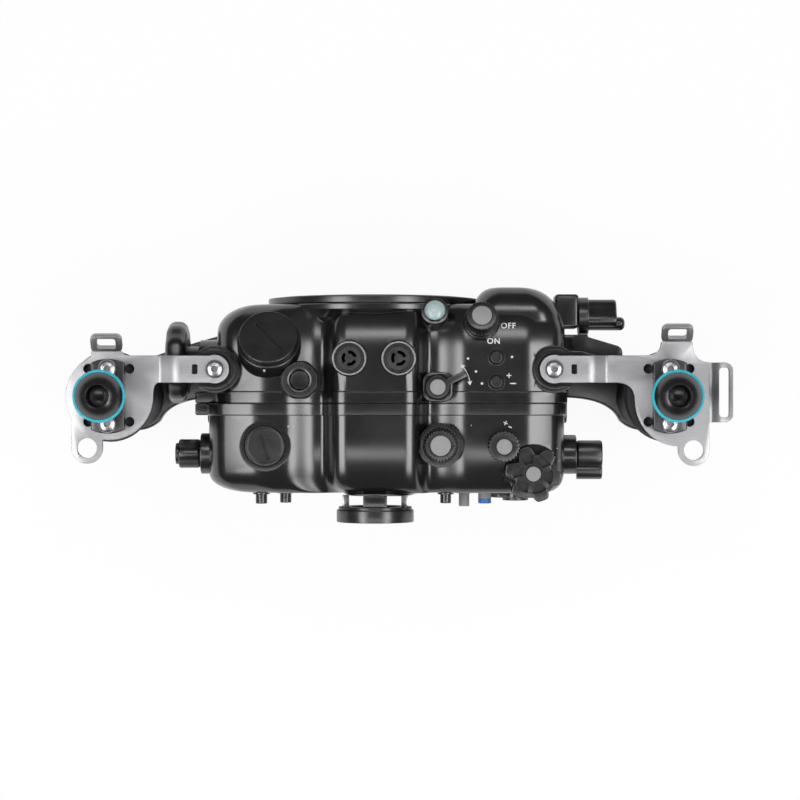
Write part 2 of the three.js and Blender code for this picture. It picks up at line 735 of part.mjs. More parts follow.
const frontOutline = shellOutline(FRONT_LEFT, FRONT_RIGHT);
const backOutline = shellOutline(BACK_LEFT, BACK_RIGHT);
const halfGap = PARTING_GAP / 2;
const cavityBack = BACK_DEPTH - BACK_WALL;
const rightShaft = RIGHT_KNOB.hubProud + SIDE_SHAFT_BITE;
const bulgeDepth = BACK_DEPTH + FINDER_BULGE.proud;
const finderStep = bulgeDepth + FINDER.gap;
const finderRim = finderStep + FINDER.stepDepth;
const finderEnd = finderRim + FINDER.rimDepth;
const finderSeat = finderEnd - FINDER_GLASS.recess;
const leftShaft = LEFT_KNOB.hubProud + SIDE_SHAFT_BITE;
const opticSeat = OPTIC.thickness - OPTIC.proud;
const frontDialReach = FRONT_DIAL_BLOCK.proud + WALL;
const cavityFront = FRONT_DEPTH - FRONT_WALL;
const cavityFloor = PLATE_THICKNESS + WALL;
const blockLow = BRACKET_TOP + SEAT_GAP;
const blockHigh = blockLow + BALL_BASE.height;
const zoomShaftDepth = ZOOM_HUB.proud + WALL + PINION.inset + PINION.width;

function flange(outline, from, to) {
  return sleeve(outline, from, to, -FLANGE_PROUD);
}

function ear(from, to) {
  const inner = BACK_LEFT + FLANGE_DEPTH;
  const low = PARTING_Y + Math.min(from, to);
  const high = PARTING_Y + Math.max(from, to);
  return block(FLANGE_EAR_LEFT, inner, low, high, FLANGE_EAR_LOW, FLANGE_EAR_HIGH);
}

function cradle(x) {
  const top = ARM_TOP - STEEL - SEAT_GAP;
  const spot = placeAt(x, ARM_Y, top, UP);
  return boss(spot, CRADLE.r, CRADLE.drop, CRADLE.rimHeight, FINE);
}

// The arm lies in the cradle through a slot that opens away from the body.
function cradleSlot(x, side) {
  const top = ARM_TOP - STEEL - SEAT_GAP;
  const well = disc(CRADLE.r - CRADLE.rimWall, 0, CRADLE.rimHeight + OVERRUN, FINE);
  const spot = placeAt(x, ARM_Y, top, UP);
  const half = CRADLE.r - CRADLE.rimWall;
  const reach = side * (CRADLE.r + OVERRUN);
  const mouth = block(Math.min(0, reach), Math.max(0, reach), -half, half, 0, CRADLE.rimHeight + OVERRUN);
  return at(geometryOf(joined(well, mouth)), spot);
}

function armPad(side, wallX) {
  const x0 = Math.min(wallX - side * WALL, wallX + side * ARM_PAD.reach);
  const x1 = Math.max(wallX - side * WALL, wallX + side * ARM_PAD.reach);
  const back = PARTING_Y + LOWER_ARM.back + ARM_PAD.inset;
  const front = PARTING_Y + LOWER_ARM.front - ARM_PAD.inset;
  return block(x0, x1, back, front, ARM_PAD.low, ARM_PAD.high);
}

function gripBulge() {
  const { left, right, low, high, front, corner } = BULGE;
  const outline = roundedRectangle(left, right, low, high, corner)
    .getPoints(CORNER_STEPS)
    .map((point) => [point.x, point.y]);
  return roundedCase(uniquePoints(outline), FRONT_EDGE.depth, front, BULGE_EDGE, 0);
}

function frontBosses() {
  return [
    boss(PLUG_PLACE, PLUG.r + PLUG_BOSS.proud, PLUG_BOSS.drop, 0, FINE),
    boss(VALVE_PLACE, VALVE.r + VALVE_BOSS.proud, VALVE_BOSS.drop, 0, FINE),
    boss(DOME_PLACE, DOME.r + DOME_BOSS.proud, DOME_BOSS.drop, 0, ROUND),
    boss(POWER_PLACE, POWER.r + POWER_BOSS.proud, POWER_BOSS.drop, 0, FINE),
    boss(SELECTOR_PLACE, SELECTOR.r + SELECTOR_BOSS.proud, SELECTOR_BOSS.drop, 0, ROUND),
    ...ROOF_BUTTON_PLACES
      .map((place) => boss(place, ROOF_BUTTON.r + ROOF_BUTTON_BOSS.proud, WALL, 0, ROUND)),
    boss(ZOOM_PLACE, ZOOM_HUB.r, ZOOM_HUB.proud + WALL, 0, ROUND),
    block(
      FRONT_RIGHT - WALL,
      FRONT_RIGHT + FRONT_DIAL_BLOCK.proud,
      PARTING_Y + FRONT_DIAL.y - FRONT_DIAL_BLOCK.back,
      PARTING_Y + FRONT_DIAL.y + FRONT_DIAL_BLOCK.front,
      FRONT_DIAL.z - FRONT_DIAL_BLOCK.half,
      FRONT_DIAL.z + FRONT_DIAL_BLOCK.half,
    ),
    block(
      FRONT_RIGHT - WALL,
      FRONT_RIGHT + SHUTTER.fromWall + SHUTTER_LUG.beyond,
      PARTING_Y + SHUTTER.y - SHUTTER_LUG.half,
      PARTING_Y + SHUTTER.y + SHUTTER_LUG.half,
      SHUTTER.z - SHUTTER_LUG.thickness - SEAT_GAP,
      SHUTTER.z - SEAT_GAP,
    ),
    cradle(LEFT_SCREW_X),
    cradle(RIGHT_SCREW_X),
    armPad(-1, FRONT_LEFT),
    armPad(1, FRONT_RIGHT),
    boss(PORT_PLACE, PORT_OUTER_R + PORT_BOSS.proud, PORT_BOSS.drop, 0, PORT_SIDES),
    ...LATCH_PLACES.map((place) => boss(place, LATCH.hubR, LATCH.drop, 0, ROUND)),
  ];
}

// Seats and bores of the controls and fittings of the front half.
function frontBores() {
  return [
    bore(PORT_PLACE, PORT_OPENING_R, FRONT_WALL + OVERRUN, PORT_SIDES),
    clearing(PORT_PLACE, PORT_OUTER_R + SEAT_GAP, PORT_SIDES),
    clearing(PLUG_PLACE, PLUG.r + SEAT_GAP, FINE),
    bore(PLUG_PLACE, PLUG.stemR + RUNNING_GAP, PLUG_BOSS.drop + WALL, FINE),
    clearing(VALVE_PLACE, VALVE.r + SEAT_GAP, FINE),
    bore(VALVE_PLACE, VALVE.stemR + RUNNING_GAP, VALVE_BOSS.drop + WALL, FINE),
    ...OPTIC_PLACES.map((place) => bore(place, OPTIC.r + SEAT_GAP, opticSeat + SEAT_GAP, FINE)),
    ...OPTIC_PLACES.map((place) => bore(place, OPTIC.stemR + SEAT_GAP, WALL + OVERRUN, FINE)),
    clearing(DOME_PLACE, DOME.r + SEAT_GAP, ROUND),
    bore(DOME_PLACE, DOME.stemR + SEAT_GAP, DOME_BOSS.drop + WALL, ROUND),
    clearing(POWER_PLACE, POWER.r + RUNNING_GAP * 2, FINE),
    bore(POWER_PLACE, DIAL_SHAFT.r + RUNNING_GAP, POWER_BOSS.drop + WALL, SMALL),
    clearing(SELECTOR_PLACE, SELECTOR.r + SELECTOR_BOSS.proud, ROUND),
    bore(SELECTOR_PLACE, DIAL_SHAFT.r + RUNNING_GAP, SELECTOR_BOSS.drop + OVERRUN, SMALL),
    ...ROOF_BUTTON_PLACES
      .map((place) => bore(place, ROOF_BUTTON.r + RUNNING_GAP, WALL + OVERRUN, SMALL)),
    bore(ZOOM_PLACE, ZOOM.shaftR + RUNNING_GAP, ZOOM_HUB.proud + WALL + OVERRUN, SMALL),
    bore(FRONT_DIAL_PLACE, FRONT_DIAL.shaftR + RUNNING_GAP, frontDialReach + OVERRUN, SMALL),
    ...[LEFT_SCREW_X, RIGHT_SCREW_X].map((x) => {
      const spot = placeAt(x, ARM_Y, ARM_TOP - STEEL, UP);
      return bore(spot, SCREW.stemR + SEAT_GAP, SCREW.bite + OVERRUN, SMALL);
    }),
    cradleSlot(LEFT_SCREW_X, -1),
    cradleSlot(RIGHT_SCREW_X, 1),
    bore(SHUTTER_PLACE, SHUTTER_PIN.r + RUNNING_GAP, SHUTTER_LUG.thickness + OVERRUN, SMALL),
    bore(PORT_LOCK_PLACE, PORT_LOCK.stemR + RUNNING_GAP, WALL, SMALL),
    bore(LENS_BUTTON_PLACE, LENS_BUTTON.r + RUNNING_GAP, FRONT_WALL + OVERRUN, SMALL),
    ...LATCH_PLACES.map((place) => bore(place, LATCH.stemR + RUNNING_GAP, LATCH.drop, SMALL)),
  ];
}

function frontHousing() {
  const shell = joined(
    roundedCase(frontOutline, halfGap, FRONT_DEPTH, FRONT_EDGE, 0),
    flange(frontOutline, halfGap, FLANGE_DEPTH),
    ear(halfGap, FLANGE_DEPTH),
    gripBulge(),
    ...frontBosses(),
  );
  const hollow = roundedCase(frontOutline, -OVERRUN, cavityFront, FRONT_HOLLOW_EDGE, WALL);
  const groove = geometryOf(sealLoop(frontOutline, -OVERRUN, halfGap + SEAL_DEPTH, 0));
  return geometryOf(cut(shell, hollow, groove, behindParting(), ...frontBores()));
}

// Keeps bosses that reach past the parting plane out of the back half's space.
function behindParting() {
  return block(
    FLANGE_EAR_LEFT - OVERRUN,
    BULGE.right + OVERRUN,
    PARTING_Y - FLANGE_DEPTH,
    PARTING_Y + halfGap,
    0,
    SHOULDER_TOP + CLEARING,
  );
}

function uniquePoints(points) {
  return points.filter(([x, z], i) => {
    const [nextX, nextZ] = points[(i + 1) % points.length];
    return Math.hypot(nextX - x, nextZ - z) > RUNNING_GAP;
  });
}

// Buttons slide in bores of their own; a lip inside the wall keeps them in.
function buttonSolid(r, top, stem, wall) {
  const lip = r + BUTTON_LIP;
  const pairs = [[0, -stem], [lip, -stem], [lip, -wall - BUTTON_LIP], [r, -wall - BUTTON_LIP]];
  pairs.push([r, top - BUTTON_LIP / 2], [r - BUTTON_LIP / 2, top], [0, top]);
  return turned(pairs, SMALL);
}

const BACK_BUTTONS = {
  menu_button: [MENU_BUTTON, BLACK_METAL],
  custom_button: [CUSTOM_BUTTON, BLACK_METAL],
  focus_button: [FOCUS_BUTTON, BLACK_METAL],
  record_button: [RECORD_BUTTON, GREY_CAP],
  play_button: [PLAY_BUTTON, BLUE_CAP],
};
const backButtonPlace = (button) => placeAt(button.x, -BACK_DEPTH - BACK_BUTTON.rise, button.z, BACKWARD);

function finderBulge() {
  const { left, right, low, high, edge, corner } = FINDER_BULGE;
  const outline = uniquePoints(roundedRectangle(left, right, low, high, corner)
    .getPoints(CORNER_STEPS).map((point) => [point.x, point.y]));
  const draw = { ...evenMargin(edge), depth: edge };
  return roundedCase(outline, BACK_WALL - BACK_DEPTH, -bulgeDepth, draw, 0);
}

function windowShape(grow) {
  const halfWidth = WINDOW.width / 2 + grow;
  const halfHeight = WINDOW.height / 2 + grow;
  return roundedRectangle(-halfWidth, halfWidth, -halfHeight, halfHeight, WINDOW.corner);
}

function backCase() {
  return roundedCase(backOutline, -halfGap, -BACK_DEPTH, BACK_EDGE, 0);
}

function backBosses() {
  return [
    boss(BACK_PLUG_PLACE, BACK_PLUG.ringR, BACK_PLUG.ringRise + WALL, 0, FINE),
    boss(MODE_PLACE, MODE_DIAL.r + DIAL_BOSS.proud, DIAL_BOSS.drop, 0, FINE),
    boss(EXPOSURE_PLACE, EXPOSURE_DIAL.neckR, DIAL_BOSS.drop, 0, ROUND),
    boss(STAR_PLACE, STAR_PAD.r, STAR_PAD.drop, 0, FINE),
    boss(RIGHT_KNOB_PLACE, RIGHT_KNOB.hubR, RIGHT_KNOB.hubProud + WALL, 0, ROUND),
    boss(LEFT_KNOB_PLACE, LEFT_KNOB.hubR, LEFT_KNOB.hubProud + WALL, 0, ROUND),
    ...Object.values(BACK_BUTTONS).map(([button]) => boss(
      backButtonPlace(button),
      button.r + BACK_BUTTON.collar,
      BACK_BUTTON.rise + WALL,
      0,
      ROUND,
    )),
    ...[FOOT.left, FOOT.right].map((x) => {
      const spot = placeAt(x, -FOOT.back, PLATE_THICKNESS, UP);
      return boss(spot, FOOT.r, PLATE_THICKNESS, WALL, ROUND);
    }),
  ];
}

// Seats and bores of the controls and fittings of the back half.
function backBores() {
  return [
    at(disc(STAR_DIAL.r + RUNNING_GAP * 2, 0, STAR_DIAL.height + OVERRUN, FINE), STAR_PLACE),
    at(prism(windowShape(SEAT_GAP), -WINDOW.thickness - SEAT_GAP, OVERRUN, CORNER_STEPS), WINDOW_PLACE),
    at(prism(windowShape(-WINDOW.ledge), -BACK_WALL - OVERRUN, OVERRUN, CORNER_STEPS), WINDOW_PLACE),
    at(disc(FINDER.boreR, cavityBack - OVERRUN, bulgeDepth + OVERRUN, ROUND), FINDER_PLACE),
    at(disc(BACK_PLUG.r + SEAT_GAP, -BACK_PLUG.ringRise, OVERRUN, FINE), BACK_PLUG_PLACE),
    bore(BACK_PLUG_PLACE, BACK_PLUG.stemR + SEAT_GAP, BACK_PLUG.ringRise + WALL + OVERRUN, FINE),
    ...[MODE_PLACE, EXPOSURE_PLACE, STAR_PLACE]
      .map((place) => bore(place, DIAL_SHAFT.r + RUNNING_GAP, DIAL_SHAFT.length, SMALL)),
    bore(RIGHT_KNOB_PLACE, SIDE_SHAFT_R + RUNNING_GAP, rightShaft + OVERRUN, SMALL),
    bore(LEFT_KNOB_PLACE, SIDE_SHAFT_R + RUNNING_GAP, leftShaft + OVERRUN, SMALL),
    ...Object.values(BACK_BUTTONS).map(([button]) => bore(
      backButtonPlace(button),
      button.r + RUNNING_GAP,
      BACK_BUTTON.rise + BACK_WALL + OVERRUN,
      SMALL,
    )),
    bore(WHEEL_PLACE, WHEEL_SHAFT_R + RUNNING_GAP, BACK_WALL + OVERRUN, SMALL),
  ];
}

function backHousing() {
  const outside = joined(
    backCase(),
    flange(backOutline, -halfGap, -FLANGE_DEPTH),
    ear(-halfGap, -FLANGE_DEPTH),
    finderBulge(),
    ...backBosses(),
  );
  const hollow = roundedCase(backOutline, OVERRUN, -cavityBack, BACK_HOLLOW_EDGE, WALL);
  const starBed = boss(STAR_PLACE, STAR_DIAL.r + STAR_PAD.wall, STAR_PAD.bed, 0, FINE);
  const bed = solidOf(starBed).intersect(solidOf(backCase()));
  return geometryOf(cut(cut(outside, hollow).add(bed), ...backBores()));
}

function portRing() {
  const ring = joined(ringOf(PORT_INNER_R, PORT_OUTER_R, SEAT_GAP, SEAT_GAP + PORT_RING_DEPTH, PORT_SIDES));
  const lug = new THREE.Shape();
  const half = degrees(PORT_LUG_SWEEP / 2);
  lug.absarc(0, 0, PORT_INNER_R + OVERRUN, -half, half, false);
  lug.absarc(0, 0, PORT_LUG_R, half, -half, true);
  const tooth = prism(lug, SEAT_GAP, SEAT_GAP + PORT_LUG_DEPTH, SMALL / 2);
  const turn = (Math.PI * 2) / PORT_LUGS;
  const teeth = Array.from({ length: PORT_LUGS }, (_, i) => tooth.clone().rotateZ(turn * i));
  return geometryOf(teeth.reduce((whole, piece) => whole.add(solidOf(piece)), ring));
}

function tripodPlate() {
  const { width, depth, corner, boltSpacing, boltR } = PLATE;
  const outline = roundedRectangle(-width / 2, width / 2, -depth / 2, depth / 2, corner);
  [-boltSpacing / 2, boltSpacing / 2].forEach((x) => {
    const hole = new THREE.Path();
    hole.absarc(x, 0, boltR, 0, Math.PI * 2);
    outline.holes.push(hole);
  });
  return prism(outline, 0, PLATE_THICKNESS - SEAT_GAP, CORNER_STEPS + 2);
}

function cameraTray() {
  const front = PARTING_Y + TRAY.fromParting;
  const halfWidth = TRAY.width / 2;
  const low = cavityFloor + SEAT_GAP;
  const plate = block(-halfWidth, halfWidth, front, front + TRAY.depth, low, low + TRAY.thickness);
  const spot = placeAt(0, TRAY.fromParting + TRAY.depth / 2, low, UP);
  const head = at(disc(TRAY_SCREW.headR + RUNNING_GAP, -OVERRUN, TRAY_SCREW.head + RUNNING_GAP, ROUND), spot);
  const stem = at(disc(TRAY_SCREW.stemR + RUNNING_GAP, 0, TRAY.thickness + OVERRUN, SMALL), spot);
  return geometryOf(cut(solidOf(plate), head, stem));
}

function trayScrew() {
  const { headR, head, stemR, stem, slot } = TRAY_SCREW;
  const pairs = [[0, 0], [headR, 0], [headR, head], [stemR, head]];
  pairs.push([stemR, head + stem], [0, head + stem]);
  const reach = headR + OVERRUN;
  const groove = block(-reach, reach, -slot / 2, slot / 2, -OVERRUN, head / 2);
  return geometryOf(cut(solidOf(turned(pairs, ROUND)), groove));
}

// Roof of the cavity over a place, which the shell's wall draws in from the outside roof.
function cavityRoof(x) {
  const tallest = SHOULDER_TOP + HUMP_RISE - PLATE_THICKNESS;
  const share = (tallest - 2 * WALL) / tallest;
  return cavityFloor + (roofHeight(x) - PLATE_THICKNESS) * share;
}

function lightBoard() {
  const { width, depth, thickness, x, fromParting, headroom, postR, postSpacing } = BOARD;
  const y0 = PARTING_Y + fromParting;
  const top = cavityRoof(x) - headroom;
  const board = block(x - width / 2, x + width / 2, y0, y0 + depth, top - thickness, top);
  const posts = [-1, 1].map((side) => {
    const spot = placeAt(x + (side * postSpacing) / 2, fromParting + depth / 2, top, UP);
    return at(disc(postR, -thickness / 2, headroom - SEAT_GAP, SMALL), spot);
  });
  return geometryOf(joined(board, ...posts));
}

function mainSeal() {
  const low = halfGap + SEAL_GAP - PARTING_GAP;
  return geometryOf(sealLoop(frontOutline, low, halfGap + SEAL_DEPTH - SEAL_GAP, SEAL_GAP));
}

// A strip of plate that follows a bent line seen from the side, between two depths.
function bentStrip(line, y0, y1) {
  const under = line.map(([x, z]) => [x, z - STEEL]).reverse();
  const strip = prism(shapeOf([...line, ...under]), -PARTING_Y - y1, -PARTING_Y - y0, 1);
  return strip.rotateX(Math.PI / 2);
}

function angleTo(centre, point) {
  return Math.atan2(point[1] - centre[1], point[0] - centre[0]);
}

// Point of a plate's round edge that stands at a given x, on its upper or lower side.
function onEdge(centre, r, x, side) {
  return [x, centre[1] + side * Math.sqrt(r * r - (x - centre[0]) ** 2)];
}

function leftPlateShape() {
  const centre = [LEFT_PLATE_X, HAND_Y];
  const armLow = ARM_Y - ARM_WIDTH / 2;
  const armHigh = ARM_Y + ARM_WIDTH / 2;
  const hookLeft = LEFT_HOOK.x - HOOK.width / 2;
  const hookRight = LEFT_HOOK.x + HOOK.width / 2;
  const tabLeft = LEFT_TAB.x - TAB_R;
  const tabRight = LEFT_TAB.x + TAB_R;
  const shape = new THREE.Shape();
  shape.moveTo(LEFT_BEND_X, armLow);
  shape.lineTo(LEFT_BEND_X, armHigh);
  shape.lineTo(hookRight + HOOK_FILLET, armHigh);
  shape.quadraticCurveTo(hookRight, armHigh, hookRight, LEFT_HOOK.y);
  shape.lineTo(hookLeft, LEFT_HOOK.y);
  const top = onEdge(centre, LEFT_PLATE_R, hookLeft, 1);
  const side = onEdge(centre, LEFT_PLATE_R, tabLeft, -1);
  const foot = onEdge(centre, LEFT_PLATE_R, tabRight, -1);
  const fromTop = angleTo(centre, top);
  const toSide = angleTo(centre, side) + Math.PI * 2;
  shape.absarc(centre[0], centre[1], LEFT_PLATE_R, fromTop, toSide, false);
  shape.absarc(LEFT_TAB.x, LEFT_TAB.y, TAB_R, Math.PI, Math.PI * 2, false);
  shape.absarc(centre[0], centre[1], LEFT_PLATE_R, angleTo(centre, foot), 0, false);
  shape.quadraticCurveTo(centre[0] + LEFT_PLATE_R, armLow, LEFT_BEND_X, armLow);
  return shape;
}

function rightPlateShape() {
  const centre = [RIGHT_PLATE_X, RIGHT_PLATE_Y];
  const armLow = ARM_Y - ARM_WIDTH / 2;
  const armHigh = ARM_Y + ARM_WIDTH / 2;
  const hookLeft = RIGHT_HOOK.x - HOOK.width / 2;
  const hookRight = RIGHT_HOOK.x + HOOK.width / 2;
  const tabLeft = RIGHT_TAB.x - TAB_R;
  const edgeLeft = RIGHT_PLATE_X - RIGHT_PLATE_R;
  const foot = onEdge(centre, RIGHT_PLATE_R, tabLeft, -1);
  const shape = new THREE.Shape();
  shape.moveTo(RIGHT_BEND_X, armHigh);
  shape.lineTo(RIGHT_BEND_X, armLow);
  shape.lineTo(edgeLeft - ARM_FILLET, armLow);
  shape.quadraticCurveTo(edgeLeft, armLow, edgeLeft, RIGHT_PLATE_Y);
  shape.absarc(centre[0], centre[1], RIGHT_PLATE_R, Math.PI, angleTo(centre, foot) + Math.PI * 2, false);
  shape.absarc(RIGHT_TAB.x, RIGHT_TAB.y, TAB_R, Math.PI, Math.PI * 2, false);
  shape.lineTo(RIGHT_TAB.x + TAB_R, STRAP.back);
  shape.lineTo(STRAP_BEND_X, STRAP.back);
  shape.lineTo(STRAP_BEND_X, STRAP.front);
  shape.quadraticCurveTo(hookRight, STRAP.front, hookRight, RIGHT_HOOK.y);
  shape.lineTo(hookLeft, RIGHT_HOOK.y);
  shape.quadraticCurveTo(hookLeft, armHigh, hookLeft - PLATE_FILLET, armHigh);
  return shape;
}

// Tab for a clip, folded up out of the plate's front edge, with a slot through it.
function hookTab(hook) {
  const { width, length, root, corner, foldAngle, slotWidth, slotHeight, slotInset, slotCorner } = HOOK;
  const tab = roundedRectangle(-width / 2, width / 2, -root, length, corner);
  const high = length - slotInset;
  const slot = roundedRectangle(-slotWidth / 2, slotWidth / 2, high - slotHeight, high, slotCorner);
  const plate = solidOf(prism(tab, -STEEL, 0, CORNER_STEPS));
  const mouth = prism(slot, -STEEL - OVERRUN, OVERRUN, CORNER_STEPS);
  const folded = geometryOf(cut(plate, mouth)).rotateX(degrees(foldAngle));
  return folded.translate(hook.x, PARTING_Y + hook.y, BRACKET_TOP);
}

function holeThrough(x, y, r, sides) {
  return at(disc(r, -STEEL - OVERRUN, OVERRUN, sides), placeAt(x, y, BRACKET_TOP, UP));
}

function bracket(hand) {
  const { side, handX, screwX, bendX, bendRun, shape, tab, hook } = hand;
  const line = [
    [screwX, ARM_TOP],
    [bendX - side * bendRun, ARM_TOP],
    [bendX, BRACKET_TOP],
    [bendX + side * STEEL, BRACKET_TOP],
  ];
  const armBack = ARM_Y - ARM_WIDTH / 2;
  const slotX = screwX + side * ARM_SLOT.inset;
  const slotHalf = ARM_SLOT.length / 2;
  const plate = prism(shape(), BRACKET_TOP - STEEL, BRACKET_TOP, CORNER_STEPS * 2).translate(0, PARTING_Y, 0);
  let solid = joined(
    plate,
    bentStrip(line, armBack, armBack + ARM_WIDTH),
    at(disc(ARM_END_R, -STEEL, 0, ROUND), placeAt(screwX, ARM_Y, ARM_TOP, UP)),
    hookTab(hook),
  );
  if (side > 0) {
    solid = solid.add(strapLoop());
  }
  return geometryOf(cut(
    solid,
    at(disc(SCREW.stemR + SEAT_GAP, -STEEL - OVERRUN, OVERRUN, SMALL), placeAt(screwX, ARM_Y, ARM_TOP, UP)),
    block(
      slotX - ARM_SLOT.width / 2,
      slotX + ARM_SLOT.width / 2,
      PARTING_Y + ARM_Y - slotHalf,
      PARTING_Y + ARM_Y + slotHalf,
      ARM_TOP - STEEL - OVERRUN,
      ARM_TOP + OVERRUN,
    ),
    holeThrough(tab.x, tab.y, TAB_HOLE_R, ROUND),
    ...[-1, 1].map((end) => HAND_Y + end * BALL_SCREW_OFFSET)
      .map((y) => holeThrough(handX, y, SCREW.stemR + SEAT_GAP, SMALL)),
    ...[-1, 1].flatMap((flank) => [WEIGHT_HOLE.front, WEIGHT_HOLE.back]
      .map((y) => holeThrough(handX + flank * WEIGHT_HOLE.dx, y, WEIGHT_HOLE.r, SMALL))),
  ));
}

// Loop for a hand strap along the right bracket's outer edge.
function strapLoop() {
  const { ramp, width, rise, lip, front, back } = STRAP;
  const inner = STRAP_BEND_X + ramp;
  const line = [
    [STRAP_BEND_X - STEEL, BRACKET_TOP],
    [STRAP_BEND_X, BRACKET_TOP],
    [inner, BRACKET_TOP + rise],
    [inner + width, BRACKET_TOP + rise + lip],
  ];
  const strip = solidOf(bentStrip(line, back, front));
  const middle = PARTING_Y + (front + back) / 2;
  const half = STRAP_SLOT.length / 2;
  const left = inner + STRAP_SLOT.offset;
  const tall = BRACKET_TOP + rise + lip + OVERRUN;
  const right = left + STRAP_SLOT.width;
  return cut(strip, block(left, right, middle - half, middle + half, BRACKET_TOP - STEEL, tall));
}

const HANDS = {
  left: {
    side: -1,
    wallX: FRONT_LEFT,
    handX: LEFT_HAND_X,
    screwX: LEFT_SCREW_X,
    bendX: LEFT_BEND_X,
    bendRun: LEFT_BEND.run,
    shape: leftPlateShape,
    tab: LEFT_TAB,
    hook: LEFT_HOOK,
  },
  right: {
    side: 1,
    wallX: FRONT_RIGHT,
    handX: RIGHT_HAND_X,
    screwX: RIGHT_SCREW_X,
    bendX: RIGHT_BEND_X,
    bendRun: RIGHT_BEND.run,
    shape: rightPlateShape,
    tab: RIGHT_TAB,
    hook: RIGHT_HOOK,
  },
};

// Curved arm from the shell's side pad out under the handle.
function lowerArm({ side, wallX, handX }) {
  const { low, thickness, front, back, sweepFrom, sweepTo } = LOWER_ARM;
  const start = wallX + side * (ARM_PAD.reach + SEAT_GAP);
  const reach = Math.abs(handX - start);
  const footR = GRIP.footDeep;
  const shape = new THREE.Shape();
  shape.moveTo(0, back);
  const joinX = reach + footR * Math.cos(degrees(sweepFrom));
  const joinY = HAND_Y + footR * Math.sin(degrees(sweepFrom));
  shape.quadraticCurveTo(reach - footR, back, joinX, joinY);
  shape.absarc(reach, HAND_Y, footR, degrees(sweepFrom), degrees(sweepTo), false);
  shape.quadraticCurveTo(reach - footR, front - (front - HAND_Y - footR) / 2, 0, front);
  const plate = prism(shape, low, low + thickness, SMALL / 2).scale(side, 1, 1);
  return outward(mergeVertices(stripped(plate))).translate(start, PARTING_Y, 0);
}

function stripped(geometry) {
  const bare = geometry.clone();
  bare.deleteAttribute('normal');
  bare.deleteAttribute('uv');
  return bare;
}

// Half width of a handle at a height: a waist for the fingers under a wide collar.
function gripHalf(foot, middle, top, low, high, z) {
  const collar = high - GRIP_COLLAR;
  const flare = Math.min(1, Math.max(0, (z - (collar - GRIP_FLARE)) / GRIP_FLARE));
  const footShare = Math.min(1, Math.max(0, 1 - (z - low) / GRIP_FLARE));
  return middle + (top - middle) * flare * flare + (foot - middle) * footShare * footShare;
}

function grip({ handX }) {
  const low = LOWER_ARM.low + LOWER_ARM.thickness + SEAT_GAP;
  const high = BRACKET_TOP - STEEL - SEAT_GAP;
  const fingersHigh = high - GRIP_COLLAR - GRIP_FLARE;
  const rings = [];
  for (let i = 0; i <= GRIP_RINGS; i += 1) {
    const z = low + ((high - low) * i) / GRIP_RINGS;
    const wide = gripHalf(GRIP.footWide, GRIP.midWide, GRIP.topWide, low, high, z);
    const deep = gripHalf(GRIP.footDeep, GRIP.midDeep, GRIP.topDeep, low, high, z);
    const fingerShare = Math.min(1, (z - low) / (fingersHigh - low));
    const groove = fingerShare < 1 ? (1 - Math.cos(Math.PI * 2 * GRIP_FINGERS * fingerShare)) / 2 : 0;
    const ring = [];
    for (let k = 0; k < ROUND; k += 1) {
      const angle = (Math.PI * 2 * k) / ROUND;
      const frontShare = Math.max(0, Math.sin(angle));
      const y = deep * Math.sin(angle) - GRIP_FINGER_DEPTH * groove * frontShare;
      ring.push(new THREE.Vector3(handX + wide * Math.cos(angle), PARTING_Y + HAND_Y + y, z));
    }
    rings.push(ring);
  }
  return loft(rings, flatXY);
}

function ballBase({ handX }) {
  const half = BALL_BASE.width / 2;
  const corner = Math.asin(half / BALL_BASE.endR);
  const shape = new THREE.Shape();
  shape.absarc(0, 0, BALL_BASE.endR, Math.PI / 2 - corner, Math.PI / 2 + corner, false);
  shape.absarc(0, 0, BALL_BASE.endR, Math.PI * 1.5 - corner, Math.PI * 1.5 + corner, false);
  [-1, 1].forEach((end) => {
    const hole = new THREE.Path();
    hole.absarc(0, end * BALL_SCREW_OFFSET, SCREW.stemR + SEAT_GAP, 0, Math.PI * 2);
    shape.holes.push(hole);
  });
  return prism(shape, blockLow, blockHigh, CORNER_STEPS + 1).translate(handX, PARTING_Y + HAND_Y, 0);
}

function mountBall() {
  const low = blockHigh + SEAT_GAP - BALL_Z;
  const pairs = [[0, low], [BALL_FOOT_R, low], [BALL_FOOT_R, low + BALL_FOOT_HEIGHT]];
  pairs.push([BALL_NECK_R, low + BALL_FOOT_HEIGHT + (BALL_FOOT_R - BALL_NECK_R)]);
  const start = -Math.acos(BALL_NECK_R / BALL_R);
  const end = Math.acos(BALL_HOLE_R / BALL_R);
  const grooveLow = BALL_RING.lift - BALL_RING.half - SEAT_GAP;
  const grooveHigh = BALL_RING.lift + BALL_RING.half + SEAT_GAP;
  const lowAngle = Math.asin(grooveLow / BALL_R);
  const highAngle = Math.asin(grooveHigh / BALL_R);
  const belt = BALL_R - BALL_RING.depth;
  for (let i = 0; i <= CORNER_STEPS; i += 1) {
    const angle = start + ((lowAngle - start) * i) / CORNER_STEPS;
    pairs.push([BALL_R * Math.cos(angle), BALL_R * Math.sin(angle)]);
  }
  pairs.push([belt, grooveLow], [belt, grooveHigh]);
  for (let i = 0; i <= CORNER_STEPS; i += 1) {
    const angle = highAngle + ((end - highAngle) * i) / CORNER_STEPS;
    pairs.push([BALL_R * Math.cos(angle), BALL_R * Math.sin(angle)]);
  }
  const rim = BALL_R * Math.sin(end);
  pairs.push([BALL_HOLE_R, rim - BALL_HOLE_DEPTH], [0, rim - BALL_HOLE_DEPTH]);
  return turned(pairs, ROUND);
}

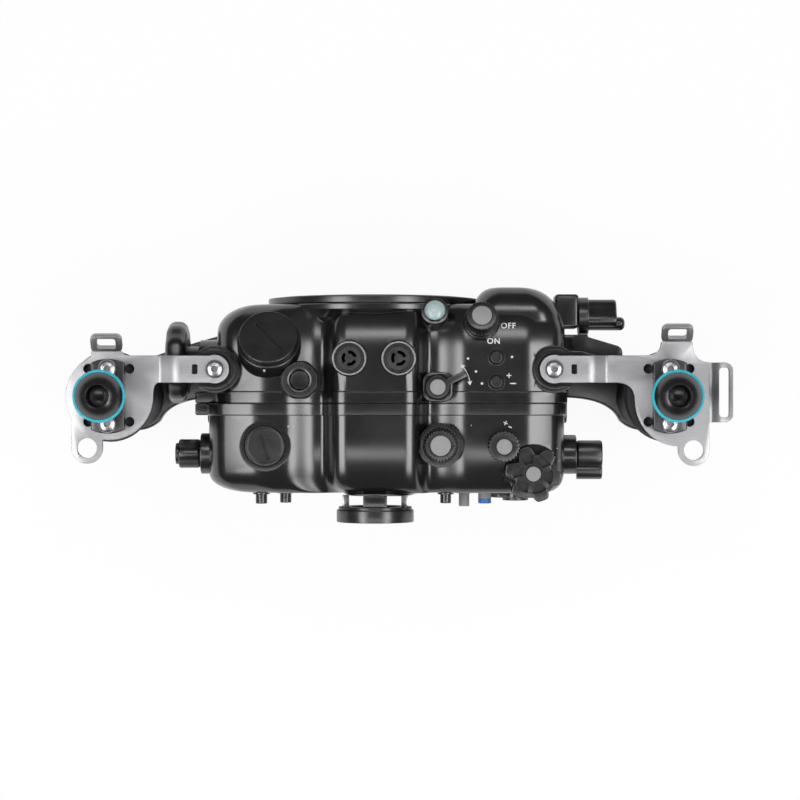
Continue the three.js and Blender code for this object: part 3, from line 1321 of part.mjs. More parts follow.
function ballRing() {
  const inner = BALL_R - BALL_RING.depth + SEAT_GAP;
  const outer = BALL_R + BALL_RING.proud;
  const { lift, half } = BALL_RING;
  const soft = half / 2;
  const loop = [[inner, -half], [outer - soft, -half], [outer, -soft]];
  loop.push([outer, soft], [outer - soft, half], [inner, half]);
  return turned([...loop, loop[0]], ROUND).translate(0, 0, lift);
}

function buttonHead(stem) {
  const { headR, edgeHeight, domeR, domeHeight, headHeight, stemR, socketR, socketDepth } = SCREW;
  const pairs = [[0, -stem], [stemR, -stem], [stemR, 0], [headR, 0], [headR, edgeHeight]];
  pairs.push([domeR, domeHeight], [socketR, headHeight], [0, headHeight]);
  const socket = disc(socketR, headHeight - socketDepth, headHeight + OVERRUN, HEXAGON);
  return geometryOf(cut(solidOf(turned(pairs, SMALL)), socket));
}

function servicePlug({ r, cap, stemR, stem, slot, slotDepth }, low) {
  const edge = slotDepth / 2;
  const pairs = [[0, -stem], [stemR, -stem], [stemR, low], [r, low]];
  pairs.push([r, cap - edge], [r - edge, cap], [0, cap]);
  const reach = r + OVERRUN;
  const groove = block(-reach, reach, -slot / 2, slot / 2, cap - slotDepth, cap + OVERRUN);
  return geometryOf(cut(solidOf(turned(pairs, FINE)), groove));
}

function valveCap() {
  const { r, cap, stemR, stem, dishR, dishDepth } = VALVE;
  const edge = cap / 4;
  const pairs = [[0, -stem], [stemR, -stem], [stemR, SEAT_GAP], [r, SEAT_GAP]];
  pairs.push([r, cap - edge], [r - edge, cap]);
  pairs.push([dishR + edge, cap], [dishR, cap - dishDepth], [0, cap - dishDepth]);
  return turned(pairs, FINE);
}

function opticalPort() {
  const { r, thickness, proud, stemR, stem, rim, lensDepth } = OPTIC;
  const low = proud - thickness;
  const pairs = [[0, -stem], [stemR, -stem], [stemR, low], [r, low], [r, proud], [r - rim, proud]];
  pairs.push([r - rim, proud - lensDepth], [0, proud - lensDepth]);
  return turned(pairs, FINE);
}

function warningDome() {
  const { r, rise, stemR, stem } = DOME;
  const pairs = [[0, -stem], [stemR, -stem], [stemR, SEAT_GAP], [r, SEAT_GAP]];
  for (let i = 1; i <= CORNER_STEPS; i += 1) {
    const angle = (Math.PI / 2) * (i / CORNER_STEPS);
    pairs.push([r * Math.cos(angle), SEAT_GAP + rise * Math.sin(angle)]);
  }
  return turned(pairs, ROUND);
}

// A dial: toothed rim, a plain cap and a shaft down into its bore.
function dial({ r, height, teeth, toothDepth, capR, cap }, shaftLength, stepsPerTooth) {
  const rim = prism(lobedShape(r, toothDepth, teeth, stepsPerTooth), SEAT_GAP, SEAT_GAP + height, 1);
  const top = disc(capR, height, SEAT_GAP + height + cap, ROUND);
  const shaft = disc(DIAL_SHAFT.r, -shaftLength, SEAT_GAP * 2, SMALL);
  return geometryOf(joined(rim, top, shaft));
}

function selectorLever() {
  const { r, height, capR, cap, arm, armWidth, armLift } = SELECTOR;
  const lever = block(0, arm, -armWidth / 2, armWidth / 2, armLift, armLift + armWidth);
  const solid = joined(
    disc(r, SEAT_GAP, SEAT_GAP + height, ROUND),
    disc(capR, height, SEAT_GAP + height + cap, ROUND),
    disc(DIAL_SHAFT.r, -SELECTOR_BOSS.drop, SEAT_GAP * 2, SMALL),
    lever,
  );
  return geometryOf(solid).rotateZ(degrees(SELECTOR.heading));
}

function sideKnob({ r, lobes, lobeDepth, clear, length }, shaftR, shaftDepth) {
  const wing = prism(lobedShape(r, lobeDepth, lobes, SMALL), clear, clear + length, 1);
  return geometryOf(joined(wing, disc(shaftR, -shaftDepth, clear + OVERRUN, SMALL)));
}

// The right knob has a thumb lobe along its back.
function rightSideKnob() {
  const { clear, length } = RIGHT_KNOB;
  const lobe = disc(RIGHT_KNOB_LOBE.r, clear, clear + length, ROUND).translate(0, -RIGHT_KNOB_LOBE.back, 0);
  return geometryOf(joined(sideKnob(RIGHT_KNOB, SIDE_SHAFT_R, rightShaft), lobe));
}

function zoomKnob() {
  const outline = lobedShape(ZOOM.r, ZOOM.lobeDepth, ZOOM.lobes, CORNER_STEPS);
  const wheel = prism(outline, ZOOM.clear, ZOOM.clear + ZOOM.width, 1);
  const collar = disc(ZOOM_HUB.collarR, SEAT_GAP, ZOOM.clear + OVERRUN, ROUND);
  const shaft = disc(ZOOM.shaftR, -zoomShaftDepth, ZOOM.clear + OVERRUN, SMALL);
  return geometryOf(joined(wheel, collar, shaft));
}

function zoomPinion() {
  const points = [];
  for (let i = 0; i < PINION.teeth; i += 1) {
    PINION_TOOTH_SHARES.forEach(([share, r]) => {
      const angle = ((i + share) / PINION.teeth) * Math.PI * 2;
      points.push([r * Math.cos(angle), r * Math.sin(angle)]);
    });
  }
  const shape = shapeOf(points);
  const hole = new THREE.Path();
  hole.absarc(0, 0, ZOOM.shaftR + SEAT_GAP, 0, Math.PI * 2);
  shape.holes.push(hole);
  return prism(shape, -zoomShaftDepth, PINION.width - zoomShaftDepth, SMALL / 2);
}

function frontDial() {
  const low = FRONT_DIAL_HUB.height;
  const high = low + FRONT_DIAL.length;
  const tail = disc(FRONT_DIAL_TAIL.r, low - OVERRUN, high + FRONT_DIAL_TAIL.beyond, ROUND);
  return geometryOf(joined(
    tail.translate(-FRONT_DIAL_TAIL.rise, -FRONT_DIAL_TAIL.back, 0),
    disc(FRONT_DIAL_HUB.r, SEAT_GAP, low, ROUND),
    prism(lobedShape(FRONT_DIAL.r, FRONT_DIAL.lobeDepth, FRONT_DIAL.lobes, SMALL), low - OVERRUN, high, 1),
    disc(FRONT_DIAL.shaftR, -frontDialReach, OVERRUN, SMALL),
  ));
}

function roundedLink(hubR, tipR, length, low, high) {
  const hub = disc(hubR, low, high, ROUND);
  const tip = disc(tipR, low, high, ROUND).translate(length, 0, 0);
  const lean = Math.asin((hubR - tipR) / length);
  const web = shapeOf([
    [hubR * Math.sin(lean), -hubR * Math.cos(lean)],
    [length + tipR * Math.sin(lean), -tipR * Math.cos(lean)],
    [length + tipR * Math.sin(lean), tipR * Math.cos(lean)],
    [hubR * Math.sin(lean), hubR * Math.cos(lean)],
  ]);
  return joined(hub, tip, prism(web, low, high, 1));
}

function shutterLever() {
  const { hubR, linkR, height, length, heading, padR, thickness } = SHUTTER;
  const lever = roundedLink(linkR, padR, length, height - thickness, height);
  const hub = disc(hubR, 0, height, ROUND);
  const pin = disc(SHUTTER_PIN.r, -SHUTTER_PIN.length, SEAT_GAP, SMALL);
  return geometryOf(lever.add(joined(hub, pin))).rotateZ(degrees(heading));
}

function portLockLever() {
  const { hubR, thickness, length, tipR, stemR, stem } = PORT_LOCK;
  const lever = roundedLink(hubR, tipR, length, SEAT_GAP, SEAT_GAP + thickness);
  return geometryOf(lever.add(solidOf(disc(stemR, -stem, SEAT_GAP * 2, SMALL))));
}

function sideLatch() {
  const { hubR, tipR, length, thickness, stemR, stem } = LATCH;
  const lever = roundedLink(hubR, tipR, length, SEAT_GAP, SEAT_GAP + thickness);
  const stemSolid = solidOf(disc(stemR, -stem, SEAT_GAP * 2, SMALL));
  return geometryOf(lever.add(stemSolid)).rotateZ(-Math.PI / 2);
}

function finderRing() {
  const { boreR, stepR, rimR } = FINDER;
  const glassR = FINDER_GLASS.r + SEAT_GAP;
  const loop = [[boreR, finderStep], [stepR, finderStep], [stepR, finderRim], [rimR, finderRim]];
  loop.push([rimR, finderEnd], [glassR, finderEnd], [glassR, finderSeat], [boreR, finderSeat]);
  const ring = turned([...loop, loop[0]], FINE);
  const half = FINDER_POST.width / 2;
  const x0 = FINDER_POST.reach - FINDER_POST.thickness / 2;
  const x1 = FINDER_POST.reach + FINDER_POST.thickness / 2;
  const low = bulgeDepth + SEAT_GAP;
  const turn = (Math.PI * 2) / FINDER_POST.count;
  const posts = Array.from({ length: FINDER_POST.count }, (_, i) => (
    block(x0, x1, -half, half, low, finderStep + SEAT_GAP).rotateZ(turn * i)
  ));
  return geometryOf(joined(ring, ...posts));
}

function controlWheel() {
  const { r, clear, width, lobes, lobeDepth } = WHEEL;
  return geometryOf(joined(
    prism(lobedShape(r, lobeDepth, lobes, CORNER_STEPS), clear, clear + width, 1),
    disc(WHEEL_HUB.r, clear, clear + width + WHEEL_HUB.rise, ROUND),
    disc(WHEEL_SHAFT_R, -BACK_WALL, clear + SEAT_GAP, SMALL),
  ));
}

// Front half and everything fixed to it.
addMesh(housing, 'front_housing', frontHousing(), BLACK_METAL);
addMesh(housing, 'main_oring', mainSeal(), TEAL_RUBBER);
addMesh(housing, 'port_ring', portRing(), BLACK_METAL, PORT_PLACE);
addMesh(housing, 'base_plate', tripodPlate(), BLACK_METAL);
addMesh(housing, 'camera_tray', cameraTray(), BLACK_METAL);
addMesh(
  housing,
  'tray_screw',
  trayScrew(),
  BRIGHT_STEEL,
  placeAt(0, TRAY.fromParting + TRAY.depth / 2, cavityFloor + SEAT_GAP, UP),
);
addMesh(housing, 'leak_sensor_board', lightBoard(), GREEN_BOARD);
const largePlug = servicePlug(PLUG, SEAT_GAP).rotateZ(degrees(PLUG.heading));
addMesh(housing, 'large_plug', largePlug, BLACK_METAL, PLUG_PLACE);
addMesh(housing, 'valve_cap', valveCap(), BLACK_METAL, VALVE_PLACE);
addMesh(housing, 'left_optical_port', opticalPort(), CLEAR_GLASS, OPTIC_PLACES[0]);
addMesh(housing, 'right_optical_port', opticalPort(), CLEAR_GLASS, OPTIC_PLACES[1]);
addMesh(housing, 'leak_dome', warningDome(), PALE_LENS, DOME_PLACE);

Object.entries(HANDS).forEach(([name, hand]) => {
  const ballPlace = placeAt(hand.handX, HAND_Y, BALL_Z, UP);
  addMesh(housing, `${name}_bracket`, bracket(hand), STEEL_PLATE);
  addMesh(housing, `${name}_lower_arm`, lowerArm(hand), BLACK_METAL);
  addMesh(housing, `${name}_grip`, grip(hand), BLACK_RUBBER);
  addMesh(housing, `${name}_ball_base`, ballBase(hand), BLACK_METAL);
  addMesh(housing, `${name}_ball`, mountBall(), BLACK_METAL, ballPlace);
  addMesh(housing, `${name}_ball_oring`, ballRing(), TEAL_RUBBER, ballPlace);
  const armSeat = placeAt(hand.screwX, ARM_Y, ARM_TOP + SEAT_GAP, UP);
  addMesh(housing, `${name}_bracket_screw`, buttonHead(STEEL + SCREW.bite), BRIGHT_STEEL, armSeat);
  ['rear', 'front'].forEach((end, i) => {
    const y = HAND_Y + (2 * i - 1) * BALL_SCREW_OFFSET;
    const seat = placeAt(hand.handX, y, blockHigh + SEAT_GAP, UP);
    const screw = buttonHead(BALL_BASE.height + STEEL / 2);
    addMesh(housing, `${name}_${end}_base_screw`, screw, BRIGHT_STEEL, seat);
  });
});

// Controls that move on the front half.
addMesh(housing, 'power_knob', dial(POWER, POWER_BOSS.drop, 2), BLACK_METAL, POWER_PLACE);
addMesh(housing, 'selector_lever', selectorLever(), BLACK_METAL, SELECTOR_PLACE);
['front_roof_button', 'rear_roof_button'].forEach((name, i) => {
  const solid = buttonSolid(ROOF_BUTTON.r, ROOF_BUTTON.proud, ROOF_BUTTON.stem, WALL + ROOF_BUTTON_BOSS.rise);
  addMesh(housing, name, solid, BLACK_METAL, ROOF_BUTTON_PLACES[i]);
});
addMesh(housing, 'zoom_knob', zoomKnob(), BLACK_METAL, ZOOM_PLACE);
addMesh(housing, 'zoom_pinion', zoomPinion(), GREY_CAP, ZOOM_PLACE);
addMesh(housing, 'front_dial_knob', frontDial(), BLACK_METAL, FRONT_DIAL_PLACE);
addMesh(housing, 'shutter_lever', shutterLever(), BLACK_METAL, SHUTTER_PLACE);
addMesh(housing, 'port_lock_lever', portLockLever(), BLACK_METAL, PORT_LOCK_PLACE);
addMesh(
  housing,
  'lens_release_button',
  buttonSolid(LENS_BUTTON.r, LENS_BUTTON.proud, LENS_BUTTON.stem, FRONT_WALL),
  BLACK_METAL,
  LENS_BUTTON_PLACE,
);
addMesh(housing, 'left_latch', sideLatch(), BLACK_METAL, LATCH_PLACES[0]);
addMesh(housing, 'right_latch', sideLatch(), BLACK_METAL, LATCH_PLACES[1]);

// Back half with its window, viewfinder and controls.
addMesh(backGroup, 'back_housing', backHousing(), BLACK_METAL);
const rearWindow = prism(windowShape(0), -WINDOW.thickness, 0, CORNER_STEPS);
addMesh(backGroup, 'rear_window', rearWindow, CLEAR_GLASS, WINDOW_PLACE);
addMesh(backGroup, 'finder_ring', finderRing(), BLACK_METAL, FINDER_PLACE);
const glassSeat = finderSeat + SEAT_GAP;
const finderGlass = disc(FINDER_GLASS.r, glassSeat, glassSeat + FINDER_GLASS.thickness, FINE);
addMesh(backGroup, 'finder_glass', finderGlass, CLEAR_GLASS, FINDER_PLACE);
const backPlug = servicePlug(BACK_PLUG, SEAT_GAP - BACK_PLUG.ringRise);
addMesh(backGroup, 'back_plug', backPlug.rotateZ(degrees(BACK_PLUG.heading)), BLACK_METAL, BACK_PLUG_PLACE);
addMesh(backGroup, 'mode_dial', dial(MODE_DIAL, DIAL_BOSS.drop, 2), BLACK_METAL, MODE_PLACE);
addMesh(backGroup, 'exposure_dial', dial(EXPOSURE_DIAL, DIAL_BOSS.drop, 2), BLACK_METAL, EXPOSURE_PLACE);
addMesh(backGroup, 'star_dial', dial(STAR_DIAL, DIAL_BOSS.drop, CORNER_STEPS * 2), BLACK_METAL, STAR_PLACE);
const rightKnob = rightSideKnob();
addMesh(backGroup, 'right_side_knob', rightKnob, BLACK_METAL, RIGHT_KNOB_PLACE);
const leftKnob = sideKnob(LEFT_KNOB, SIDE_SHAFT_R, leftShaft);
addMesh(backGroup, 'left_side_knob', leftKnob, BLACK_METAL, LEFT_KNOB_PLACE);
Object.entries(BACK_BUTTONS).forEach(([name, [button, look]]) => {
  const top = button.proud - BACK_BUTTON.rise;
  const solid = buttonSolid(button.r, top, BACK_BUTTON.stem, BACK_WALL + BACK_BUTTON.rise);
  addMesh(backGroup, name, solid, look, backButtonPlace(button));
});
addMesh(backGroup, 'control_wheel', controlWheel(), BLACK_METAL, WHEEL_PLACE);

export default housing;
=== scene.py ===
import json
import math

import bpy
from mathutils import Matrix, Vector


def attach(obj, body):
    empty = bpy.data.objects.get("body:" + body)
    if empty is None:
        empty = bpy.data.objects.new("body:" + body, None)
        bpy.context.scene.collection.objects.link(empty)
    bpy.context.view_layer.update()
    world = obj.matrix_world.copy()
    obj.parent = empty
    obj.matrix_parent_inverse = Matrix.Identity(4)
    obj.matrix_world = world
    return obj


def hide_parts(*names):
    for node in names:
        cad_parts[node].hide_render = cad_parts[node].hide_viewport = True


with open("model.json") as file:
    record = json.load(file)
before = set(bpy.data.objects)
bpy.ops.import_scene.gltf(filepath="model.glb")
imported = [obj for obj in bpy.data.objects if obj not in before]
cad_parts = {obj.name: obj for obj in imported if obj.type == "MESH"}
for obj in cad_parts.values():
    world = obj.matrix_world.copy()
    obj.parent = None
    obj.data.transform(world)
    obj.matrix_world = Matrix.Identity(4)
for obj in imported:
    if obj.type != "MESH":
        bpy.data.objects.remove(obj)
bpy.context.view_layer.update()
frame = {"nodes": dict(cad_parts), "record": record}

bl_info = {
    "name": "Underwater camera housing",
    "version": (1, 0, 0),
    "blender": (4, 5, 0),
    "location": "View3D > Sidebar > Housing",
    "description": "Models the visible shells, handles and controls round a packed camera housing",
    "category": "Add Mesh",
}

MM = 0.001

# Planes and fits of the housing, in millimetres.
PARTING_Y = -28.0
HALF_GAP = 0.02  # from each shell to the parting plane
GROOVE = 0.3  # half the groove that shows along the parting line
SEAT = 0.3  # under a piece that sits on another
RUN = 0.3  # round a piece that moves in a bore
OVER = 2.0  # how far a cutter reaches past what it cuts
WALL = 5.0
AXIS_Z = 90.0
FLOOR_Z = 8.0
SHOULDER = 143.0
# The roof has a hump over the lens between two valleys, and corners that slope before they turn.
HUMP = {"x": 1.75, "flat": 15.2, "shelf": 4.4, "grade": 0.32, "foot": 26.0, "rise": 7.0}
VALLEYS = {"x": (-27.0, 30.5), "shoulder_side": 20.0, "hump_side": 10.0, "depth": 6.0}
CORNERS = {
    "left": 30.0, "right": 23.5, "low": 16.0, "grade": 0.32,
    "slope_start": 0.34, "slope_end": 0.72,
}
FRONT = {"left": -81.6, "right": 100.4, "depth": 51.5, "wall": 6.0}
BACK = {"left": -85.9, "right": 99.9, "depth": 46.5, "wall": 6.0}
BACK_BUTTON_Y = -47.5  # where the heights of the back buttons are counted from
# How far each shell draws in at its left, right, top and bottom edge, and over what depth.
FRONT_EDGE = ((20.0, 14.8), (14.0, 14.8), (14.0, 27.0), (12.0, 14.8))
BACK_EDGE = ((20.0, 9.5), (9.0, 9.5), (13.0, 30.0), (10.0, 9.5))
FRONT_HOLLOW_EDGE = ((12.0, 8.0), (8.0, 8.0), (9.0, 20.0), (4.0, 8.0))
BACK_HOLLOW_EDGE = ((12.0, 6.0), (6.0, 6.0), (9.0, 24.0), (4.0, 6.0))
FLANGE_EDGE = ((0.5, 0.5),) * 4
FLANGE = {"depth": 6.2, "proud": 1.1, "ear": -92.5, "root": -80.0, "low": 96.0, "high": 124.0}
SEAL = {"inset": 1.4, "width": 2.2, "depth": 1.8, "gap": 0.2}
# The steel brackets, the handles under them and the ball mounts on top.
ARM_Y = 17.5
HAND_Y = 3.6
HAND_X = {"left": -134.2, "right": 151.3}
BRACKET_Z = 150.0
ARM_Z = 144.0
STEEL = 3.0
SCREW_SEAT_Z = ARM_Z - STEEL - SEAT
BALL_FOOT = {"low": 150.3, "high": 156.3, "screws": 13.9}
BALL_Z = 186
BALL_R = 12.7
# The camera looks straight down; its view is counted in points.
CAMERA = {"x": 14.2, "y": -26.3, "z": 1336}
VIEW_WIDTH = 800
VIEW_REACH = 2327  # from the lens to the plane on which one point is 1 mm

UP = Vector((0, 0, 1))
FORWARD = Vector((0, 1, 0))
BACKWARD = Vector((0, -1, 0))
RIGHTWARD = Vector((1, 0, 0))
LEFTWARD = Vector((-1, 0, 0))


def chosen(name):
    """A size from the sidebar, in millimetres."""
    return getattr(bpy.context.scene.housing_sizes, name) / MM


def leaning(tilt):
    angle = math.radians(tilt)
    return Vector((0, math.sin(angle), math.cos(angle)))


def place(x, y, z, direction=UP, turn=0.0):
    """A place whose local +Z points along direction; y is counted from the parting plane."""
    spot = Matrix.Translation(Vector((x, PARTING_Y + y, z)) * MM)
    facing = UP.rotation_difference(direction).to_matrix().to_4x4()
    return spot @ facing @ Matrix.Rotation(math.radians(turn), 4, "Z")


def roof_height(x):
    """Height of the roof at x: two shoulders, two valleys and a hump over the lens."""
    side = abs(x - HUMP["x"])
    shelf_end = HUMP["flat"] + HUMP["shelf"]
    rise = HUMP["rise"] - HUMP["grade"] * min(HUMP["shelf"], max(0.0, side - HUMP["flat"]))
    fallen = min(1.0, max(0.0, side - shelf_end) / (HUMP["foot"] - shelf_end))
    rise *= (1 + math.cos(math.pi * fallen)) / 2
    dip = 0.0
    for centre in VALLEYS["x"]:
        outside = abs(x - HUMP["x"]) > abs(centre - HUMP["x"])
        reach = VALLEYS["shoulder_side" if outside else "hump_side"]
        dip += (1 + math.cos(math.pi * min(1.0, abs(x - centre) / reach))) / 2
    return SHOULDER + rise - VALLEYS["depth"] * dip


def linear(hex_colour):
    """An sRGB hex colour as the linear red, green, blue and alpha that a shader takes."""
    channels = [int(hex_colour[i:i + 2], 16) / 255 for i in (1, 3, 5)]
    low = [c / 12.92 if c <= 0.04045 else ((c + 0.055) / 1.055) ** 2.4 for c in channels]
    return (*low, 1.0)


# Outlines, all in millimetres and anticlockwise.
def arc(cx, cy, r, start, end, steps):
    angles = [math.radians(start + (end - start) * i / steps) for i in range(steps + 1)]
    return [(cx + r * math.cos(a), cy + r * math.sin(a)) for a in angles]


def curve(a, b, c, steps):
    """A quadratic curve from a to c that leans towards b, without its first point."""
    points = []
    for i in range(1, steps + 1):
        t = i / steps
        points.append(tuple(
            (1 - t) ** 2 * a[k] + 2 * t * (1 - t) * b[k] + t * t * c[k] for k in (0, 1)
        ))
    return points


def rounded_rectangle(x0, x1, y0, y1, r, steps=6):
    return (
        arc(x1 - r, y0 + r, r, -90, 0, steps)
        + arc(x1 - r, y1 - r, r, 0, 90, steps)
        + arc(x0 + r, y1 - r, r, 90, 180, steps)
        + arc(x0 + r, y0 + r, r, 180, 270, steps)
    )


def waved(r, depth, count, phases, dip, start=0.0):
    """A round outline of count equal waves that dip in by a share of depth at each phase."""
    points = []
    for i in range(count):
        for phase in phases:
            turn = 2 * math.pi * (i + phase) / count + math.radians(start)
            reach = r - depth * dip(phase)
            points.append((reach * math.cos(turn), reach * math.sin(turn)))
    return points


def lobed(r, depth, lobes, steps, start=0.0):
    """A round outline with soft waves, as on a knob that is gripped by its lobes."""
    def dip(phase):
        return (1 - math.cos(2 * math.pi * phase)) / 2
    return waved(r, depth, lobes, [i / steps for i in range(steps)], dip, start)


def notched(r, depth, notches, steps, start, share):
    """A round outline with narrow round notches between wide lobes."""
    def dip(phase):
        away = abs(phase - 0.5) * 2 / share
        return (1 + math.cos(math.pi * min(1.0, away))) / 2
    return waved(r, depth, notches, [i / steps for i in range(steps)], dip, start)


def toothed(r, depth, teeth):
    """A round outline with flat-topped teeth, as cut by a straight knurl."""
    roots = (0.0, 0.22)
    tips = (0.36, 0.86)
    return waved(r, depth, teeth, roots + tips, lambda phase: phase in roots)


def softened(points, r, steps=3, closed=False):
    """The same line with its corners drawn round, for turned profiles and bent strips."""
    made = []
    count = len(points)
    for i, point in enumerate(points):
        if not closed and i in (0, count - 1):
            made.append(point)
            continue
        here = Vector(point)
        before = Vector(points[i - 1]) - here
        after = Vector(points[(i + 1) % count]) - here
        reach = min(r, before.length * 0.45, after.length * 0.45)
        a = here + before.normalized() * reach
        c = here + after.normalized() * reach
        made.append(tuple(a))
        made.extend(curve(tuple(a), point, tuple(c), steps))
    return made


def roof_corner(edge, r, inward):
    """Upright wall, tight turn, even slope and soft start of the roof, from the wall inward."""
    grade = CORNERS["grade"]
    start = CORNERS["slope_start"] * r
    end = CORNERS["slope_end"] * r
    drop = grade * (r - end) / 2
    low = SHOULDER - drop - grade * (end - start)
    wall = (edge, SHOULDER - r)
    turn = curve(wall, (edge, low - grade * start), (edge + inward * start, low), 12)
    slope = (edge + inward * end, SHOULDER - drop)
    level = (edge + inward * (end + r) / 2, SHOULDER)
    return turn + curve(slope, level, (edge + inward * r, SHOULDER), 6)


def shell_outline(left, right, roof_steps=84):
    """A shell seen from the front: floor corners, walls, roof corners and the roof between."""
    low_r = CORNERS["low"]
    start = left + CORNERS["left"]
    end = right - CORNERS["right"]
    roof_xs = [start + (end - start) * i / roof_steps for i in range(1, roof_steps)]
    points = arc(left + low_r, FLOOR_Z + low_r, low_r, 270, 180, 8)
    points += roof_corner(left, CORNERS["left"], 1)
    points += [(x, roof_height(x)) for x in roof_xs]
    points += roof_corner(right, CORNERS["right"], -1)[::-1]
    points += arc(right - low_r, FLOOR_Z + low_r, low_r, 0, -90, 8)
    return points[::-1]


# Modelling by the same steps as by hand.
def rest_selection():
    if bpy.context.mode != "OBJECT":
        bpy.ops.object.mode_set(mode="OBJECT")
    bpy.ops.object.select_all(action="DESELECT")


def select_all():
    bpy.ops.mesh.select_all(action="SELECT")


def only(piece):
    rest_selection()
    piece.select_set(True)
    bpy.context.view_layer.objects.active = piece


def draw_line(name, points):
    """Extrudes a line of edges, point after point, out of a plane merged to one vertex."""
    rest_selection()
    bpy.ops.mesh.primitive_plane_add(size=MM, location=(0, 0, 0))
    piece = bpy.context.object
    piece.name = name
    bpy.ops.object.mode_set(mode="EDIT")
    select_all()
    bpy.ops.mesh.merge(type="CENTER")
    bpy.ops.transform.translate(value=Vector(points[0]) * MM)
    for near, far in zip(points, points[1:]):
        step = (Vector(far) - Vector(near)) * MM
        bpy.ops.mesh.extrude_region_move(TRANSFORM_OT_translate={"value": step})
    return piece


def settle(piece, matrix=None, smooth=35.0):
    """Puts a modelled piece in its place, kept in its mesh, and smooths what is round."""
    only(piece)
    if matrix is not None:
        piece.matrix_world = matrix
    bpy.ops.object.transform_apply(location=True, rotation=True, scale=True)
    bpy.ops.object.shade_smooth_by_angle(angle=math.radians(smooth))
    return piece


def smoothed(piece):
    """Smooths a piece again after solids were joined to it or cut out of it."""
    return settle(piece, None, 30)


def close_mesh():
    select_all()
    bpy.ops.mesh.remove_doubles(threshold=0.002 * MM)
    bpy.ops.mesh.normals_make_consistent(inside=False)
    bpy.ops.object.mode_set(mode="OBJECT")


def turned(name, pairs, sides=64, matrix=None):
    """Spins a profile of radius and height pairs about the local Z axis."""
    piece = draw_line(name, [(r, 0, h) for r, h in pairs])
    select_all()
    bpy.ops.mesh.spin(steps=sides, angle=2 * math.pi, center=(0, 0, 0), axis=(0, 0, 1))
    close_mesh()
    return settle(piece, matrix)


def disc(name, r, low, high, sides=64, matrix=None):
    return turned(name, [(0, low), (r, low), (r, high), (0, high)], sides, matrix)


def pad(name, r, low, high, edge, sides=64, matrix=None, crown=0.0, steps=3):
    """A disc with its top rim drawn round and its middle raised by crown."""
    rim = softened([(r, low), (r, high), (0, high + crown)], edge, steps)
    return turned(name, [(0, low), *rim], sides, matrix)


def ring(name, r0, r1, low, high, edge, sides=64, matrix=None, steps=3):
    """A ring of oblong section with its corners drawn round."""
    loop = softened([(r0, low), (r1, low), (r1, high), (r0, high)], edge, steps, True)
    return turned(name, loop + loop[:1], sides, matrix)


def prism(
    name, outline, low, high, matrix=None,
    edge=0.0, limit=50.0, smooth=35.0, segments=2, taper=1.0,
):
    """Extrudes an outline between two heights, tapers its top and bevels its rims."""
    piece = draw_line(name, [(x, y, low) for x, y in outline])
    select_all()
    bpy.ops.mesh.edge_face_add()
    step = (0, 0, (high - low) * MM)
    bpy.ops.mesh.extrude_region_move(TRANSFORM_OT_translate={"value": step})
    bpy.ops.transform.resize(value=(taper, taper, 1), center_override=(0, 0, high * MM))
    close_mesh()
    if edge:
        only(piece)
        made = piece.modifiers.new("rims", "BEVEL")
        made.width = edge * MM
        made.segments = segments
        made.limit_method = "ANGLE"
        made.angle_limit = math.radians(limit)
        bpy.ops.object.modifier_apply(modifier=made.name)
    return settle(piece, matrix, smooth)


def block(name, x0, x1, y0, y1, z0, z1, matrix=None, edge=0.0, segments=2):
    """A block with bevelled edges: y is counted as it is given."""
    outline = [(x0, y0), (x1, y0), (x1, y1), (x0, y1)]
    return prism(name, outline, z0, z1, matrix, edge, segments=segments)


def remove(piece):
    """Removes an object and its mesh."""
    mesh = piece.data
    bpy.data.objects.remove(piece)
    bpy.data.meshes.remove(mesh)


def blend_solids(piece, tools, operation):
    """Joins tools to a piece, cuts them out of it or keeps what they share, and removes them."""
    for tool in tools:
        only(piece)
        made = piece.modifiers.new("solid", "BOOLEAN")
        made.operation = operation
        made.solver = "MANIFOLD"
        made.object = tool
        bpy.ops.object.modifier_apply(modifier=made.name)
        remove(tool)
    if not piece.data.polygons:
        raise RuntimeError(piece.name + " lost its faces in " + operation)
    return piece


def unite(piece, *tools):
    return blend_solids(piece, tools, "UNION")


def cut(piece, *tools):
    return blend_solids(piece, tools, "DIFFERENCE")


def inset_box(outline, margins):
    """Lowest and highest corner of an outline drawn in by left, right, top and bottom margins."""
    left, right, top, bottom = margins
    xs = [x for x, _ in outline]
    zs = [z for _, z in outline]
    return (min(xs) + left, max(xs) - right, min(zs) + bottom, max(zs) - top)


def scale_about(now, then):
    """Scale and centre that carry one span onto another."""
    scale = (then[1] - then[0]) / (now[1] - now[0])
    if abs(scale - 1) < 1e-6:
        return 1.0, now[0]
    return scale, (then[0] - scale * now[0]) / (1 - scale)


